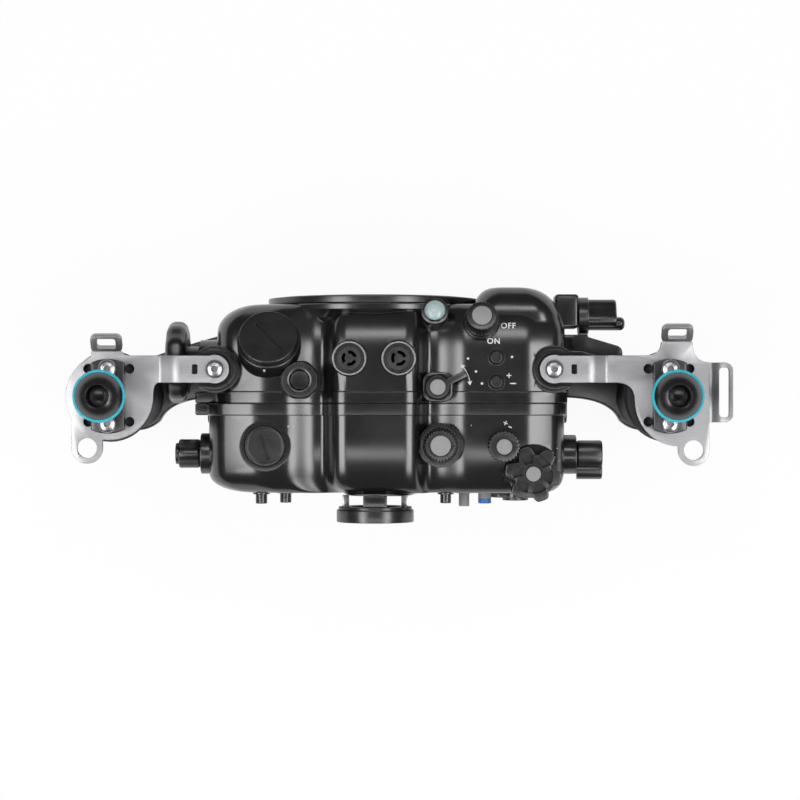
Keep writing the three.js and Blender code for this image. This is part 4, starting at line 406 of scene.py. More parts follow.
def case(name, outline, start, end, edges, wall, steps=10):
    """A solid that keeps its outline over its depth and rounds off at its far edge."""
    toward = math.copysign(1, end - start)
    box = inset_box(outline, (0, 0, 0, 0))
    stations = [(start, (wall, wall, wall, wall))]
    deepest = max(depth for _, depth in edges)
    for i in range(steps + 1):
        from_end = deepest * (1 - math.sin(math.pi / 2 * i / steps))
        margins = []
        for draw, depth in edges:
            share = max(0.0, 1 - from_end / depth)
            margins.append(wall + draw * (1 - math.sqrt(1 - share * share)))
        stations.append((end - toward * from_end, tuple(margins)))
    piece = draw_line(name, [(x, PARTING_Y + start, z) for x, z in outline])
    select_all()
    bpy.ops.mesh.edge_face_add()
    y_now = start
    for index, (y, margins) in enumerate(stations):
        if index:
            step = (0, (y - y_now) * MM, 0)
            bpy.ops.mesh.extrude_region_move(TRANSFORM_OT_translate={"value": step})
        then = inset_box(outline, margins)
        x_scale, x_centre = scale_about(box[:2], then[:2])
        z_scale, z_centre = scale_about(box[2:], then[2:])
        centre = Vector((x_centre, PARTING_Y + y, z_centre)) * MM
        bpy.ops.transform.resize(value=(x_scale, 1, z_scale), center_override=centre)
        box = then
        y_now = y
    close_mesh()
    return settle(piece)


def fine_copy(piece, name):
    """A copy of a piece with a mesh of its own."""
    only(piece)
    bpy.ops.object.duplicate(linked=False)
    made = bpy.context.object
    made.name = name
    return made


# Materials.
def add_node(tree, kind, settings=None, links=None):
    """Adds a node with its settings and links."""
    made = tree.nodes.new(kind)
    for name, value in (settings or {}).items():
        if isinstance(name, int) or name in made.inputs:
            made.inputs[name].default_value = value
        else:
            setattr(made, name, value)
    for name, source in (links or {}).items():
        tree.links.new(source, made.inputs[name])
    return made


def surface(name, looks, *steps):
    """A material with a Principled shader that is worked over by the given steps."""
    made = bpy.data.materials.new(name)
    if made.name != name:
        raise RuntimeError("another material is already called " + name)
    made.use_nodes = True
    tree = made.node_tree
    shader = next(node for node in tree.nodes if node.type == "BSDF_PRINCIPLED")
    for socket, value in looks.items():
        shader.inputs[socket].default_value = value
    for step in steps:
        step(tree, shader)
    return made


def colour_of(name, share=1.0):
    """A colour from the sidebar, darkened to a share of itself."""
    channels = getattr(bpy.context.scene.housing_colours, name)
    return (*(channel * share for channel in channels), 1.0)


def place_on(tree):
    """The Object coordinates, from one node in each material."""
    kind = "ShaderNodeTexCoord"
    found = [node for node in tree.nodes if node.bl_idname == kind]
    return (found or [add_node(tree, kind)])[0].outputs["Object"]


def grain(tree, millimetres, detail=3.0, stretch=(1.0, 1.0, 1.0)):
    """Noise whose grains are about that many millimetres across."""
    links = {"Vector": place_on(tree)}
    mapping = add_node(tree, "ShaderNodeMapping", {"Scale": stretch}, links)
    settings = {"Scale": 1 / (millimetres * MM), "Detail": detail, "Roughness": 0.55}
    links = {"Vector": mapping.outputs["Vector"]}
    return add_node(tree, "ShaderNodeTexNoise", settings, links).outputs["Fac"]


def spread(tree, factor, start, end, low=0.0, high=1.0):
    """Carries the middle of a factor, from start to end, onto another range."""
    settings = {"From Min": start, "From Max": end, "To Min": low, "To Max": high}
    return add_node(tree, "ShaderNodeMapRange", settings, {"Value": factor}).outputs["Result"]


def relief(tree, shader, height, millimetres, strength, edge=0.0):
    """Bump from a height pattern, over edges that are broken to the given radius."""
    links = {"Height": height}
    if edge:
        settings = {"samples": 4, "Radius": edge * MM}
        links["Normal"] = add_node(tree, "ShaderNodeBevel", settings).outputs["Normal"]
    settings = {"Strength": strength, "Distance": millimetres * MM}
    bump = add_node(tree, "ShaderNodeBump", settings, links)
    tree.links.new(bump.outputs["Normal"], shader.inputs["Normal"])


# Steps of a finish. A pattern is the grain's millimetres, detail and stretch.
def tinted(colour, dark, *pattern):
    """Lets the base colour wander between a sidebar colour and a darker share of it."""
    def step(tree, shader):
        factor = spread(tree, grain(tree, *pattern), 0.35, 0.65)
        ends = {"data_type": "RGBA", 6: colour_of(colour, dark), 7: colour_of(colour)}
        mix = add_node(tree, "ShaderNodeMix", ends, {0: factor})
        tree.links.new(mix.outputs[2], shader.inputs["Base Color"])
    return step


def roughened(low, high, *pattern):
    """Lets the roughness wander between two values."""
    def step(tree, shader):
        factor = spread(tree, grain(tree, *pattern), 0.3, 0.7, low, high)
        tree.links.new(factor, shader.inputs["Roughness"])
    return step


def pitted(depth, strength, edge, *pattern):
    """Raises a grain by a depth in millimetres, over edges broken to a radius."""
    def step(tree, shader):
        relief(tree, shader, grain(tree, *pattern), depth, strength, edge)
    return step


def leather_cells(tree, shader):
    settings = {"Scale": 1 / (1.2 * MM), "feature": "F1"}
    cells = add_node(tree, "ShaderNodeTexVoronoi", settings, {"Vector": place_on(tree)})
    relief(tree, shader, cells.outputs["Distance"], 0.12, 0.5)


def copper_tracks(tree, shader):
    settings = {
        "Scale": 1 / (6.0 * MM),
        "Mortar Size": 0.06,
        "Color1": colour_of("board", 0.8),
        "Color2": colour_of("board"),
        "Mortar": linear("#7c8a4a"),
    }
    tracks = add_node(tree, "ShaderNodeTexBrick", settings, {"Vector": place_on(tree)})
    tree.links.new(tracks.outputs["Color"], shader.inputs["Base Color"])
    relief(tree, shader, tracks.outputs["Fac"], 0.05, 0.4)


# What each finish is, the shader values of its real material and how its surface is worked.
FINISHES = {
    # Aluminium, bead blasted and black anodised: deep black that takes soft grey reflections.
    # The blast leaves pits of about 0.2 mm; they are drawn 0.5 mm across so that they show.
    "blasted_anodised": (
        {"IOR": 1.77},
        tinted("anodised", 0.82, 22.0, 2.0),
        roughened(0.2, 0.26, 22.0, 2.0),
        pitted(0.015, 0.3, 0.45, 0.5),
    ),
    # The same alloy turned on a lathe before anodising: a little sharper in its highlights.
    # Turning marks run round a knob; at this distance they read as an even fine grain.
    "turned_anodised": (
        {"IOR": 1.77},
        tinted("anodised", 0.7, 9.0, 2.0),
        roughened(0.26, 0.33, 9.0, 2.0),
        pitted(0.015, 0.3, 0.25, 0.6),
    ),
    # The same again with a fine glossy cut, as on mounting balls: crisp lights on deep black.
    "polished_anodised": (
        {"IOR": 1.77},
        tinted("gloss", 0.7, 4.0),
        roughened(0.24, 0.3, 4.0),
        pitted(0.01, 0.15, 0.2, 0.8),
    ),
    # Stainless sheet with a satin belt grain: an even light grey with bright bends.
    # The grain lies along the plate in 0.25 mm wide lines, drawn 0.5 mm wide to show.
    "satin_stainless": (
        {"Metallic": 1.0},
        tinted("steel", 0.9, 0.5, 2.0, (0.06, 1.0, 1.0)),
        roughened(0.4, 0.46, 14.0, 2.0),
        pitted(0.01, 0.3, 0.3, 0.5, 2.0, (0.06, 1.0, 1.0)),
    ),
    # Stainless screws and bezels, tumbled bright: small sharp lights.
    "bright_stainless": (
        {"Metallic": 1.0},
        tinted("bright", 0.88, 0.4),
        roughened(0.26, 0.34, 0.4),
        pitted(0.01, 0.2, 0.2, 0.4),
    ),
    # ABS caps with a moulded matt texture: flat mid grey.
    # The spark-eroded mould leaves 0.3 mm pips, drawn 0.5 mm across.
    "grey_abs": (
        {"IOR": 1.53},
        tinted("cap", 0.93, 6.0),
        roughened(0.52, 0.66, 0.5),
        pitted(0.03, 0.4, 0.0, 0.5),
    ),
    # The same plastic dyed blue.
    "blue_abs": (
        {"IOR": 1.53},
        tinted("blue", 0.85, 0.5),
        roughened(0.4, 0.52, 0.5),
        pitted(0.03, 0.3, 0.0, 0.5),
    ),
    # Silicone seal: soft teal with a low sheen.
    "teal_silicone": (
        {"IOR": 1.43},
        tinted("seal", 0.86, 3.0),
        roughened(0.36, 0.5, 3.0),
        pitted(0.02, 0.25, 0.0, 0.6),
    ),
    # Moulded elastomer sleeve: dull black, with a leather-like grain of 1.2 mm cells.
    "black_elastomer": (
        {"IOR": 1.5},
        tinted("rubber", 0.75, 12.0),
        roughened(0.62, 0.78, 12.0),
        leather_cells,
    ),
    # Cast acrylic window: clear with a sharp reflection.
    "clear_acrylic": (
        {"IOR": 1.49, "Transmission Weight": 1.0},
        roughened(0.015, 0.045, 18.0),
    ),
    # Polished black acrylic discs in front of the flash windows.
    "black_acrylic": (
        {"IOR": 1.49},
        tinted("lens", 0.6, 5.0),
        roughened(0.34, 0.46, 5.0),
    ),
    # Milky polycarbonate dome: pale and glossy, lit from inside by its own scatter.
    "milky_polycarbonate": (
        {"IOR": 1.58, "Subsurface Weight": 0.35},
        tinted("dome", 0.88, 2.5),
        roughened(0.12, 0.2, 2.5),
    ),
    # Glass-fibre board with copper tracks 0.8 mm wide under green solder mask.
    "solder_mask": ({"IOR": 1.5, "Roughness": 0.35}, copper_tracks),
    # Paint rubbed into engraved marks: flat white.
    "white_paint": (
        {"IOR": 1.5},
        tinted("marks", 0.9, 0.7),
        roughened(0.5, 0.62, 0.7),
    ),
}
FINISH_OF_SLOT = {
    "black_anodised": "blasted_anodised",
    "grip_rubber": "black_elastomer",
    "steel_plate": "satin_stainless",
    "bright_steel": "bright_stainless",
    "grey_plastic": "grey_abs",
    "blue_plastic": "blue_abs",
    "oring_teal": "teal_silicone",
    "clear_window": "clear_acrylic",
    "optic_disc": "black_acrylic",
    "dome_lens": "milky_polycarbonate",
    "circuit_board": "solder_mask",
}


def dress(piece, body, slot=None, finish=None, stands_for=()):
    """Gives a finished piece its body, record slot, finish and the nodes that it stands for."""
    piece.data.materials.clear()
    piece.data.materials.append(bpy.data.materials[finish or FINISH_OF_SLOT[slot]])
    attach(piece, body)
    if stands_for:
        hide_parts(*stands_for)
    return piece


def dress_blasted(piece, body, *stands_for):
    return dress(piece, body, "black_anodised", None, stands_for)


def dress_turned(piece, body, *stands_for):
    return dress(piece, body, "black_anodised", "turned_anodised", stands_for)


# Places of what stands on the housing.
PLUG_PLACE = place(-53.1, 32.4, 145, leaning(27), -47.6)
VALVE_PLACE = place(-37.3, 12, 144)
OPTIC_XS = {"left": -11.7, "right": 13.5}
DOME_PLACE = place(32.1, 47.5, 140.5, leaning(18))
POWER_PLACE = place(56, 41.9, 142, leaning(20))
SELECTOR_PLACE = place(33.5, 8.3, 141)
ROOF_BUTTONS = {"front": 23.5, "rear": 10.9}
ZOOM_PLACE = place(-92.6, 21.8, 90, LEFTWARD)
DIAL_BLOCK_PLACE = place(107.7, 45.9, 110, RIGHTWARD)
BACK_PLUG_PLACE = place(-55, -21.9, roof_height(-55) + 2, UP, 107)
MODE_PLACE = place(34.9, -21.6, SHOULDER + 1.2)
EXPOSURE_PLACE = place(67.3, -22.1, roof_height(67.3) + 4)
STAR_PLACE = place(82.5, -36.2, 138)
RIGHT_KNOB_PLACE = place(106.8, -27, 110, RIGHTWARD)
LEFT_KNOB_PLACE = place(-90.5, -26.5, 110, LEFTWARD)
WHEEL_PLACE = place(76.8, -46.5, 72, BACKWARD)
WINDOW_PLACE = place(2, -46.5, 56, BACKWARD)
FINDER_PLACE = place(1.3, 0, 124, BACKWARD)
PORT_PLACE = place(0, 51.5, AXIS_Z, FORWARD)
PORT_LOCK_PLACE = place(-50, 51.5, 27, FORWARD)
LENS_BUTTON_PLACE = place(48, 51.5, 27, FORWARD)
SHUTTER_PLACE = place(108, 31.5, 116, UP, -16)
LATCH_PLACES = {
    "left": place(-87.0, 13, 56, LEFTWARD, -90),
    "right": place(101.5, 13, 56, RIGHTWARD, -90),
}
SCREW_XS = {"left": -80.8, "right": 93.3}
SIDES = {"left": -1, "right": 1}
# Place across and height of each back button, its radius and where its tip ends.
BACK_BUTTONS = {
    "menu": (-58.2, 120, 3.0, 52.4),
    "custom": (-46.1, 108, 3.0, 52.4),
    "focus": (38, 122, 2.85, 52.1),
    "record": (48, 108, 2.8, 54.3),
    "play": (59, 104, 3.45, 53.0),
}


def optic_place(x):
    return place(x, 23, roof_height(x))


def roof_button_place(y):
    return place(63.6, y, roof_height(63.6) + 0.8)


def back_button_place(x, z):
    return place(x, BACK_BUTTON_Y, z, BACKWARD)


def boss(r, drop, matrix, rise=0.0, edge=0.8, sides=64):
    """A round pad that stands out of a wall, with a broken rim."""
    return pad("boss", r, -drop, rise, edge, sides, matrix)


def room(r, matrix, sides=64, high=14):
    """Clears the space over a boss in which a control or cap sits."""
    return disc("room", r, 0, high, sides, matrix)


def bore(r, depth, matrix, height=OVER, sides=48):
    return disc("bore", r, -depth, height, sides, matrix)


def shaft(r, depth, high, matrix, sides=32):
    return disc("shaft", r, -depth, high, sides, matrix)


def flange(outline, start, end):
    return case("flange", outline, start, end, FLANGE_EDGE, -FLANGE["proud"], 4)


def ear(y0, y1):
    """The tab on the left of a flange."""
    low, high = sorted((PARTING_Y + y0, PARTING_Y + y1))
    across = (FLANGE["ear"], FLANGE["root"])
    return block("ear", *across, low, high, FLANGE["low"], FLANGE["high"], None, 0.9, 3)


def seal_loop(name, outline, start, end, slack):
    """The seal or its groove: a band inside the outline, narrower by slack on each side."""
    outer = case(name, outline, start, end, ((0.2, 0.2),) * 4, SEAL["inset"] + slack, 3)
    width = SEAL["inset"] + SEAL["width"] - slack
    inner = case("inner", outline, start - OVER, end + OVER, ((0.1, 0.1),) * 4, width, 2)
    return cut(outer, inner)


def half_space(y0, y1):
    """A block wider and higher than the housing, to cut a shell off at the parting plane."""
    return block("half", -100, 110, PARTING_Y + y0, PARTING_Y + y1, -1, 170)


# Front shell.
def front_solids(outline):
    bulge = rounded_rectangle(51.8, 98.5, 24, 138, 14, 8)
    bulge_edge = ((11, 15), (19, 20), (12, 15), (12, 15))
    octagon = arc(0, 0, 10.4, 22.5, 337.5, 7)
    square = rounded_rectangle(-7.6, 7.6, -7.6, 7.6, 5)
    port = [(0, -22), (46, -22), (52, -7), (57.2, -3), (57.2, -0.6), (56.6, 0), (0, 0)]
    made = [
        flange(outline, HALF_GAP + GROOVE, FLANGE["depth"]),
        ear(HALF_GAP, FLANGE["depth"]),
        case("bulge", bulge, 14.8, 60.3, bulge_edge, 0, 10),
        boss(16.3, 26, PLUG_PLACE),
        prism("valve_pad", octagon, -14, 0, VALVE_PLACE, 1.6, 30, 30, 3),
        boss(7.15, 16, DOME_PLACE, 0, 0.5),
        boss(9.3, 12, POWER_PLACE),
        prism("selector_pad", square, -10, 1.0, SELECTOR_PLACE, 0.5),
        boss(12, 16, ZOOM_PLACE),
        turned("port_boss", port, 160, PORT_PLACE),
        block("dial_block", 95.4, 107.7, 11.3, 29.1, 100.5, 119.5, None, 1.6, 3),
        block("shutter_lug", 95.4, 113, -1.0, 8.0, 111.7, 115.7, None, 0.8),
    ]
    made += [boss(4.4, WALL, roof_button_place(y), 0, 0.3, 40) for y in ROOF_BUTTONS.values()]
    made += [boss(6, 9, spot, 0, 0.4, 40) for spot in LATCH_PLACES.values()]
    for name, side in SIDES.items():
        x0, x1 = sorted((FRONT[name] - side * WALL, FRONT[name] + side * 5.2))
        spot = place(SCREW_XS[name], ARM_Y, SCREW_SEAT_Z)
        made += [boss(12.3, 36, spot, 1.2, 0.7), boss(10.6, 36, spot, 3.4, 0.7)]
        made.append(block("arm_pad", x0, x1, -24, 9, 13, 44, None, 1.5, 3))
    return made


def cradle_cutters():
    """The open seats in which the ends of the bracket arms lie, with their tapped holes."""
    made = []
    for name, side in SIDES.items():
        spot = place(SCREW_XS[name], ARM_Y, SCREW_SEAT_Z)
        x0, x1 = sorted((0, side * 12.6))
        made += [
            disc("well", 8.8, 0, 5.4, 64, spot),
            block("mouth", x0, x1, -8.8, 8.8, 0, 5.4, spot),
            bore(2.7, 8, spot, 1, 32),
        ]
    return made


def front_cutters(outline):
    made = [
        half_space(-8, HALF_GAP),
        seal_loop("groove", outline, -OVER, HALF_GAP + SEAL["depth"], 0),
        bore(43, 8, PORT_PLACE, OVER, 160),
        room(56.3, PORT_PLACE, 160),
        room(15.3, PLUG_PLACE),
        bore(10.9, 31, PLUG_PLACE),
        room(9.4, VALVE_PLACE),
        bore(5.3, 19, VALVE_PLACE),
        room(5.95, DOME_PLACE, 48),
        bore(3.9, 21, DOME_PLACE),
        room(9.4, POWER_PLACE),
        bore(2.5, 17, POWER_PLACE),
        room(6.4, SELECTOR_PLACE),
        bore(2.5, 12, SELECTOR_PLACE),
        bore(4.3, 18, ZOOM_PLACE),
        bore(2.9, 14.3, DIAL_BLOCK_PLACE),
        bore(2.3, 6, SHUTTER_PLACE, 0.5),
        bore(2.3, 5, PORT_LOCK_PLACE),
        bore(4.8, 8, LENS_BUTTON_PLACE),
    ]
    made += [bore(9.25, 2.4, optic_place(x), 12, 64) for x in OPTIC_XS.values()]
    made += [bore(5.3, 7, optic_place(x)) for x in OPTIC_XS.values()]
    made += [bore(3.4, 7, roof_button_place(y)) for y in ROOF_BUTTONS.values()]
    made += [bore(2.5, 9, spot) for spot in LATCH_PLACES.values()]
    return made + cradle_cutters()


def model_front_shell():
    outline = shell_outline(FRONT["left"], FRONT["right"])
    inner_end = FRONT["depth"] - FRONT["wall"]
    shell = case("front_shell", outline, HALF_GAP, FRONT["depth"], FRONT_EDGE, 0, 14)
    unite(shell, *front_solids(outline))
    hollow = case("hollow", outline, -OVER, inner_end, FRONT_HOLLOW_EDGE, WALL, 8)
    cut(shell, hollow, *front_cutters(outline))
    dress_blasted(smoothed(shell), "housing", "front_housing")


def model_main_seal():
    outline = shell_outline(FRONT["left"], FRONT["right"])
    end = HALF_GAP + SEAL["depth"] - SEAL["gap"]
    seal = settle(seal_loop("main_seal", outline, 0.0, end, SEAL["gap"]))
    dress(seal, "housing", "oring_teal", None, ["main_oring"])


# Back shell.
def back_solids(outline):
    bulge = rounded_rectangle(-16.9, 24.7, 98, 142.5, 9, 8)
    made = [
        flange(outline, -HALF_GAP - GROOVE, -FLANGE["depth"]),
        ear(-HALF_GAP, -FLANGE["depth"]),
        case("finder_bulge", bulge, -30, -48, ((7, 5), (7, 5), (8, 9), (5, 5)), 0, 8),
        boss(13.1, 7, BACK_PLUG_PLACE, 0, 0.6),
        boss(11.35, 8, MODE_PLACE, 0, 0.6),
        boss(5.8, 8, EXPOSURE_PLACE, 0, 0.5),
        boss(12.6, 18, STAR_PLACE, 0, 0.5),
        boss(10.3, 11.9, RIGHT_KNOB_PLACE),
        boss(10.7, 9.6, LEFT_KNOB_PLACE),
    ]
    for x, z, r, _ in BACK_BUTTONS.values():
        made.append(boss(r + 1.4, 6, back_button_place(x, z), 0, 0.3, 40))
    for x in (-45, 50):
        made.append(boss(7, FLOOR_Z, place(x, -30, FLOOR_Z), WALL, 0.4, 40))
    return made


def back_cutters():
    made = [
        half_space(-HALF_GAP, 8),
        room(15.2, STAR_PLACE, 64, 9),
        prism("seat", rounded_rectangle(-44.3, 44.3, -31.3, 31.3, 6), -3.3, 2, WINDOW_PLACE),
        prism("hole", rounded_rectangle(-39, 39, -26, 26, 6), -8, 2, WINDOW_PLACE),
        disc("finder_hole", 13, 38.5, 52.1, 64, FINDER_PLACE),
        disc("plug_room", 10.55, -2, 2, 64, BACK_PLUG_PLACE),
        bore(7.3, 9, BACK_PLUG_PLACE),
        bore(2.7, 15.9, RIGHT_KNOB_PLACE),
        bore(2.7, 13.6, LEFT_KNOB_PLACE),
        bore(3.3, 8, WHEEL_PLACE),
    ]
    made += [bore(2.5, 10, spot) for spot in (MODE_PLACE, EXPOSURE_PLACE, STAR_PLACE)]
    for x, z, r, _ in BACK_BUTTONS.values():
        made.append(bore(r + RUN, 9, back_button_place(x, z)))
    return made


def model_back_shell():
    outline = shell_outline(BACK["left"], BACK["right"])
    inner_end = BACK["wall"] - BACK["depth"]
    shell = case("back_shell", outline, -HALF_GAP, -BACK["depth"], BACK_EDGE, 0, 12)
    filled = fine_copy(shell, "filled_shell")
    unite(shell, *back_solids(outline))
    cut(shell, case("hollow", outline, OVER, inner_end, BACK_HOLLOW_EDGE, WALL, 8))
    # The star dial stands on a solid bed that ends where the shell's outside does.
    bed = blend_solids(disc("bed", 16.6, -4, 0, 64, STAR_PLACE), [filled], "INTERSECT")
    unite(shell, bed)
    cut(shell, *back_cutters())
    dress_blasted(smoothed(shell), "back_cover", "back_housing")


# Lens port, plate and fittings.
def model_port_ring():
    bayonet = ring("port_bayonet", 46, 56, 0.3, 4, 0.6, 160, PORT_PLACE)
    for start in (-12, 108, 228):
        lug = arc(0, 0, 47, start, start + 24, 12) + arc(0, 0, 44.4, start + 24, start, 12)
        unite(bayonet, prism("lug", lug, 0.3, 1.9, PORT_PLACE, 0.2))
    cut(bayonet, ring("groove", 49, 52, 3.4, 4.6, 0.3, 160, PORT_PLACE, 2))
    dress_turned(smoothed(bayonet), "housing", "port_ring")
    seal = turned("port_seal", arc(50.5, 3.6, 0.9, 0, 360, 12), 120, PORT_PLACE)
    dress(seal, "housing", "oring_teal", "black_elastomer")


def model_tripod_plate():
    outline = rounded_rectangle(-39, 39, -21, 21, 8, 8)
    plate = prism("tripod_plate", outline, 0, 7.7, None, 0.8)
    for x in (-25, 25):
        cut(plate, disc("bolt_hole", 3.3, -1, 9, 40, Matrix.Translation((x * MM, 0, 0))))
    dress_blasted(smoothed(plate), "housing", "base_plate")


def slotted(piece, matrix, reach, width, low, high):
    """Cuts a coin slot across the top of a plug."""
    cut(piece, block("slot", -reach, reach, -width / 2, width / 2, low, high, matrix))
    return smoothed(piece)


def model_plugs():
    profile = [(0, -9), (10.6, -9), (10.6, 0.3)]
    profile += softened([(15, 0.3), (15, 3.6), (13.6, 3.6)], 0.9)
    plug = turned("large_service_plug", [*profile, (0, 3.61)], 96, PLUG_PLACE)
    dress_turned(slotted(plug, PLUG_PLACE, 10.4, 1.6, 2.2, 5), "housing", "large_plug")
    profile = [(0, -8), (7, -8), (7, -1.7)]
    profile += softened([(10.25, -1.7), (10.25, 0.9), (9.4, 0.9)], 0.5)
    profile += [(9.1, 0.7), (8.8, 0.7), (8.5, 0.9), (0, 0.9)]
    plug = turned("round_back_plug", profile, 80, BACK_PLUG_PLACE)
    dress_turned(slotted(plug, BACK_PLUG_PLACE, 7, 2.3, -0.6, 2), "back_cover", "back_plug")


def model_valve():
    dish = [(9.1, 0.3), (9.1, 3.2), (6.2, 3.2), (5.2, 2.85), (4.6, 1.6), (4.6, -4.5), (0, -4.5)]
    profile = [(0, -8), (5, -8), (5, 0.3), *softened(dish, 0.25)]
    cap = turned("dished_valve_cap", profile, 80, VALVE_PLACE)
    dress_turned(cap, "housing", "valve_cap")


def model_optics():
    """The two flash windows: a bright bezel, a black collar and a polished disc in each."""
    profile = [(0, -7), (5, -7), (5, -2.1)]
    profile += softened([(8.95, -2.1), (8.95, 0.9), (7.75, 0.9), (7.75, 0.4)], 0.25)
    profile += [(6.7, 0.4), (6.7, 0.6), (6.2, 0.6), (6.2, 0.35), (0, 0.35)]
    for side, x in OPTIC_XS.items():
        spot = optic_place(x)
        collar = turned(side + "_flash_window", profile, 80, spot)
        stands_for = [side + "_optical_port"]
        dress(collar, "housing", "optic_disc", "turned_anodised", stands_for)
        bezel = ring(side + "_flash_bezel", 7.9, 8.6, 0.7, 1.05, 0.15, 80, spot, 2)
        dress(bezel, "housing", "bright_steel")
        glass = pad(side + "_flash_disc", 6.1, 0.1, 0.8, 0.3, 64, spot, 0.05)
        for start in (12, 132, 252):
            slot = arc(0, 0, 3.9, start, start + 88, 12) + arc(0, 0, 2.3, start + 88, start, 8)
            cut(glass, prism("key_slot", slot, 0.35, 2, spot))
        dress(smoothed(glass), "housing", "optic_disc")


def model_dome():
    rim = ring("dome_rim", 4.5, 5.65, 0.32, 1.2, 0.3, 64, DOME_PLACE, 2)
    dress_turned(rim, "housing")
    profile = [(0, -9), (3.6, -9), (3.6, 0.3), (5.5, 0.3)]
    profile += [(5.5 * c, 0.3 + 3.4 * s) for c, s in arc(0, 0, 1, 8, 90, 12)]
    dome = turned("leak_lamp_dome", profile, 64, DOME_PLACE)
    dress(dome, "housing", "dome_lens", None, ["leak_dome"])


# Handles and their steel brackets.
def fold(name, line, y0, y1, edge=0.3):
    """A strip of plate that follows a bent line seen from the front, between two depths."""
    top = softened(line, 3.2, 5)
    under = [(x, z - STEEL) for x, z in top][::-1]
    turn = Matrix.Rotation(math.radians(90), 4, "X")
    return prism(name, top[::-1] + under[::-1], -PARTING_Y - y1, -PARTING_Y - y0, turn, edge)


def on_edge(centre, r, x, side):
    """The point of a circle at x, on its front side (1) or its back side (-1)."""
    return (x, centre[1] + side * math.sqrt(r * r - (x - centre[0]) ** 2))


def heading(centre, point):
    return math.degrees(math.atan2(point[1] - centre[1], point[0] - centre[0]))


# The bent line of each arm from the front, the middles of its lanyard tab and hook tab, and
# how far across its slot lies.
BRACKETS = {
    "left": {
        "line": [(-80.8, 144), (-100.2, 144), (-108.8, 150), (-112.8, 150)],
        "tab": (-145.4, -22.8),
        "hook": (-135.3, 26.5),
        "slot": -91.0,
    },
    "right": {
        "line": [(93.3, 144), (112, 144), (120.1, 150), (124.1, 150)],
        "tab": (164.0, -23.9),
        "hook": (155.4, 31.5),
        "slot": 103.5,
    },
}
ARM_LOW = ARM_Y - 6.95
ARM_HIGH = ARM_Y + 6.95
TAB_R = 8  # of the round end of a lanyard tab
HOOK_HALF = 8  # half the width of a hook tab


def left_plate_outline():
    centre = (-134.0, HAND_Y)
    r = 22.3
    x, hook_y = BRACKETS["left"]["hook"]
    hook_end = (x - HOOK_HALF, hook_y)
    tab = BRACKETS["left"]["tab"]
    top = on_edge(centre, r, hook_end[0], 1)
    side = on_edge(centre, r, tab[0] - TAB_R, -1)
    foot = on_edge(centre, r, tab[0] + TAB_R, -1)
    corner = (centre[0] + r, ARM_LOW)
    points = [(-108.8, ARM_LOW), (-108.8, ARM_HIGH), (-124.8, ARM_HIGH)]
    points += curve((-124.8, ARM_HIGH), (-127.3, ARM_HIGH), (-127.3, hook_y), 5)
    points += [hook_end]
    points += arc(*centre, r, heading(centre, top), heading(centre, side) + 360, 26)
    points += arc(*tab, TAB_R, 180, 360, 16)
    points += arc(*centre, r, heading(centre, foot), 0, 20)
    return points + curve((corner[0], HAND_Y), corner, (-108.8, ARM_LOW), 8)[:-1]


def right_plate_outline():
    centre = (157.0, 1.0)
    r = 23.0
    x, hook_y = BRACKETS["right"]["hook"]
    tab = BRACKETS["right"]["tab"]
    left = centre[0] - r
    foot = on_edge(centre, r, tab[0] - TAB_R, -1)
    points = [(120.1, ARM_HIGH), (120.1, ARM_LOW), (left - 9.4, ARM_LOW)]
    points += curve((left - 9.4, ARM_LOW), (left, ARM_LOW), (left, centre[1]), 8)[:-1]
    points += arc(*centre, r, 180, heading(centre, foot) + 360, 14)
    points += arc(*tab, TAB_R, 180, 360, 16)
    points += [(172.0, -9.7), (172.6, -9.7), (172.6, 20.8)]
    points += curve((172.6, 20.8), (x + HOOK_HALF, 20.8), (x + HOOK_HALF, hook_y), 8)
    points += [(x - HOOK_HALF, hook_y)]
    end = (x - 2 * HOOK_HALF, ARM_HIGH)
    return points + curve((x - HOOK_HALF, hook_y), (x - HOOK_HALF, ARM_HIGH), end, 6)


def hook_tab(x, y):
    """A tab that leans up from the plate's front edge, with an oblong hole."""
    spot = place(x, y, BRACKET_Z) @ Matrix.Rotation(math.radians(38), 4, "X")
    outline = rounded_rectangle(-HOOK_HALF, HOOK_HALF, -1, 9.4, 3)
    hole = rounded_rectangle(-4.85, 4.85, 1.6, 7.8, 1.5)
    tab = prism("hook", outline, -STEEL, 0, spot, 0.3)
    return cut(tab, prism("hook_hole", hole, -5, 2, spot))


def strap_loop():
    line = [(169.6, 150), (172.6, 150), (177, 154.3), (183.2, 156.2)]
    loop = fold("strap_loop", line, -9.7, 20.8)
    limit = rounded_rectangle(160, 183.2, PARTING_Y - 9.7, PARTING_Y + 20.8, 4.2)
    blend_solids(loop, [prism("strap_limit", limit, 140, 165)], "INTERSECT")
    outline = rounded_rectangle(176.5, 181.3, PARTING_Y - 7.2, PARTING_Y + 18.3, 1.8)
    return cut(loop, prism("strap_slot", outline, 147, 160))


def screw_hole(r, matrix, sides=32, depth=6):
    return disc("hole", r, -depth, 2, sides, matrix)


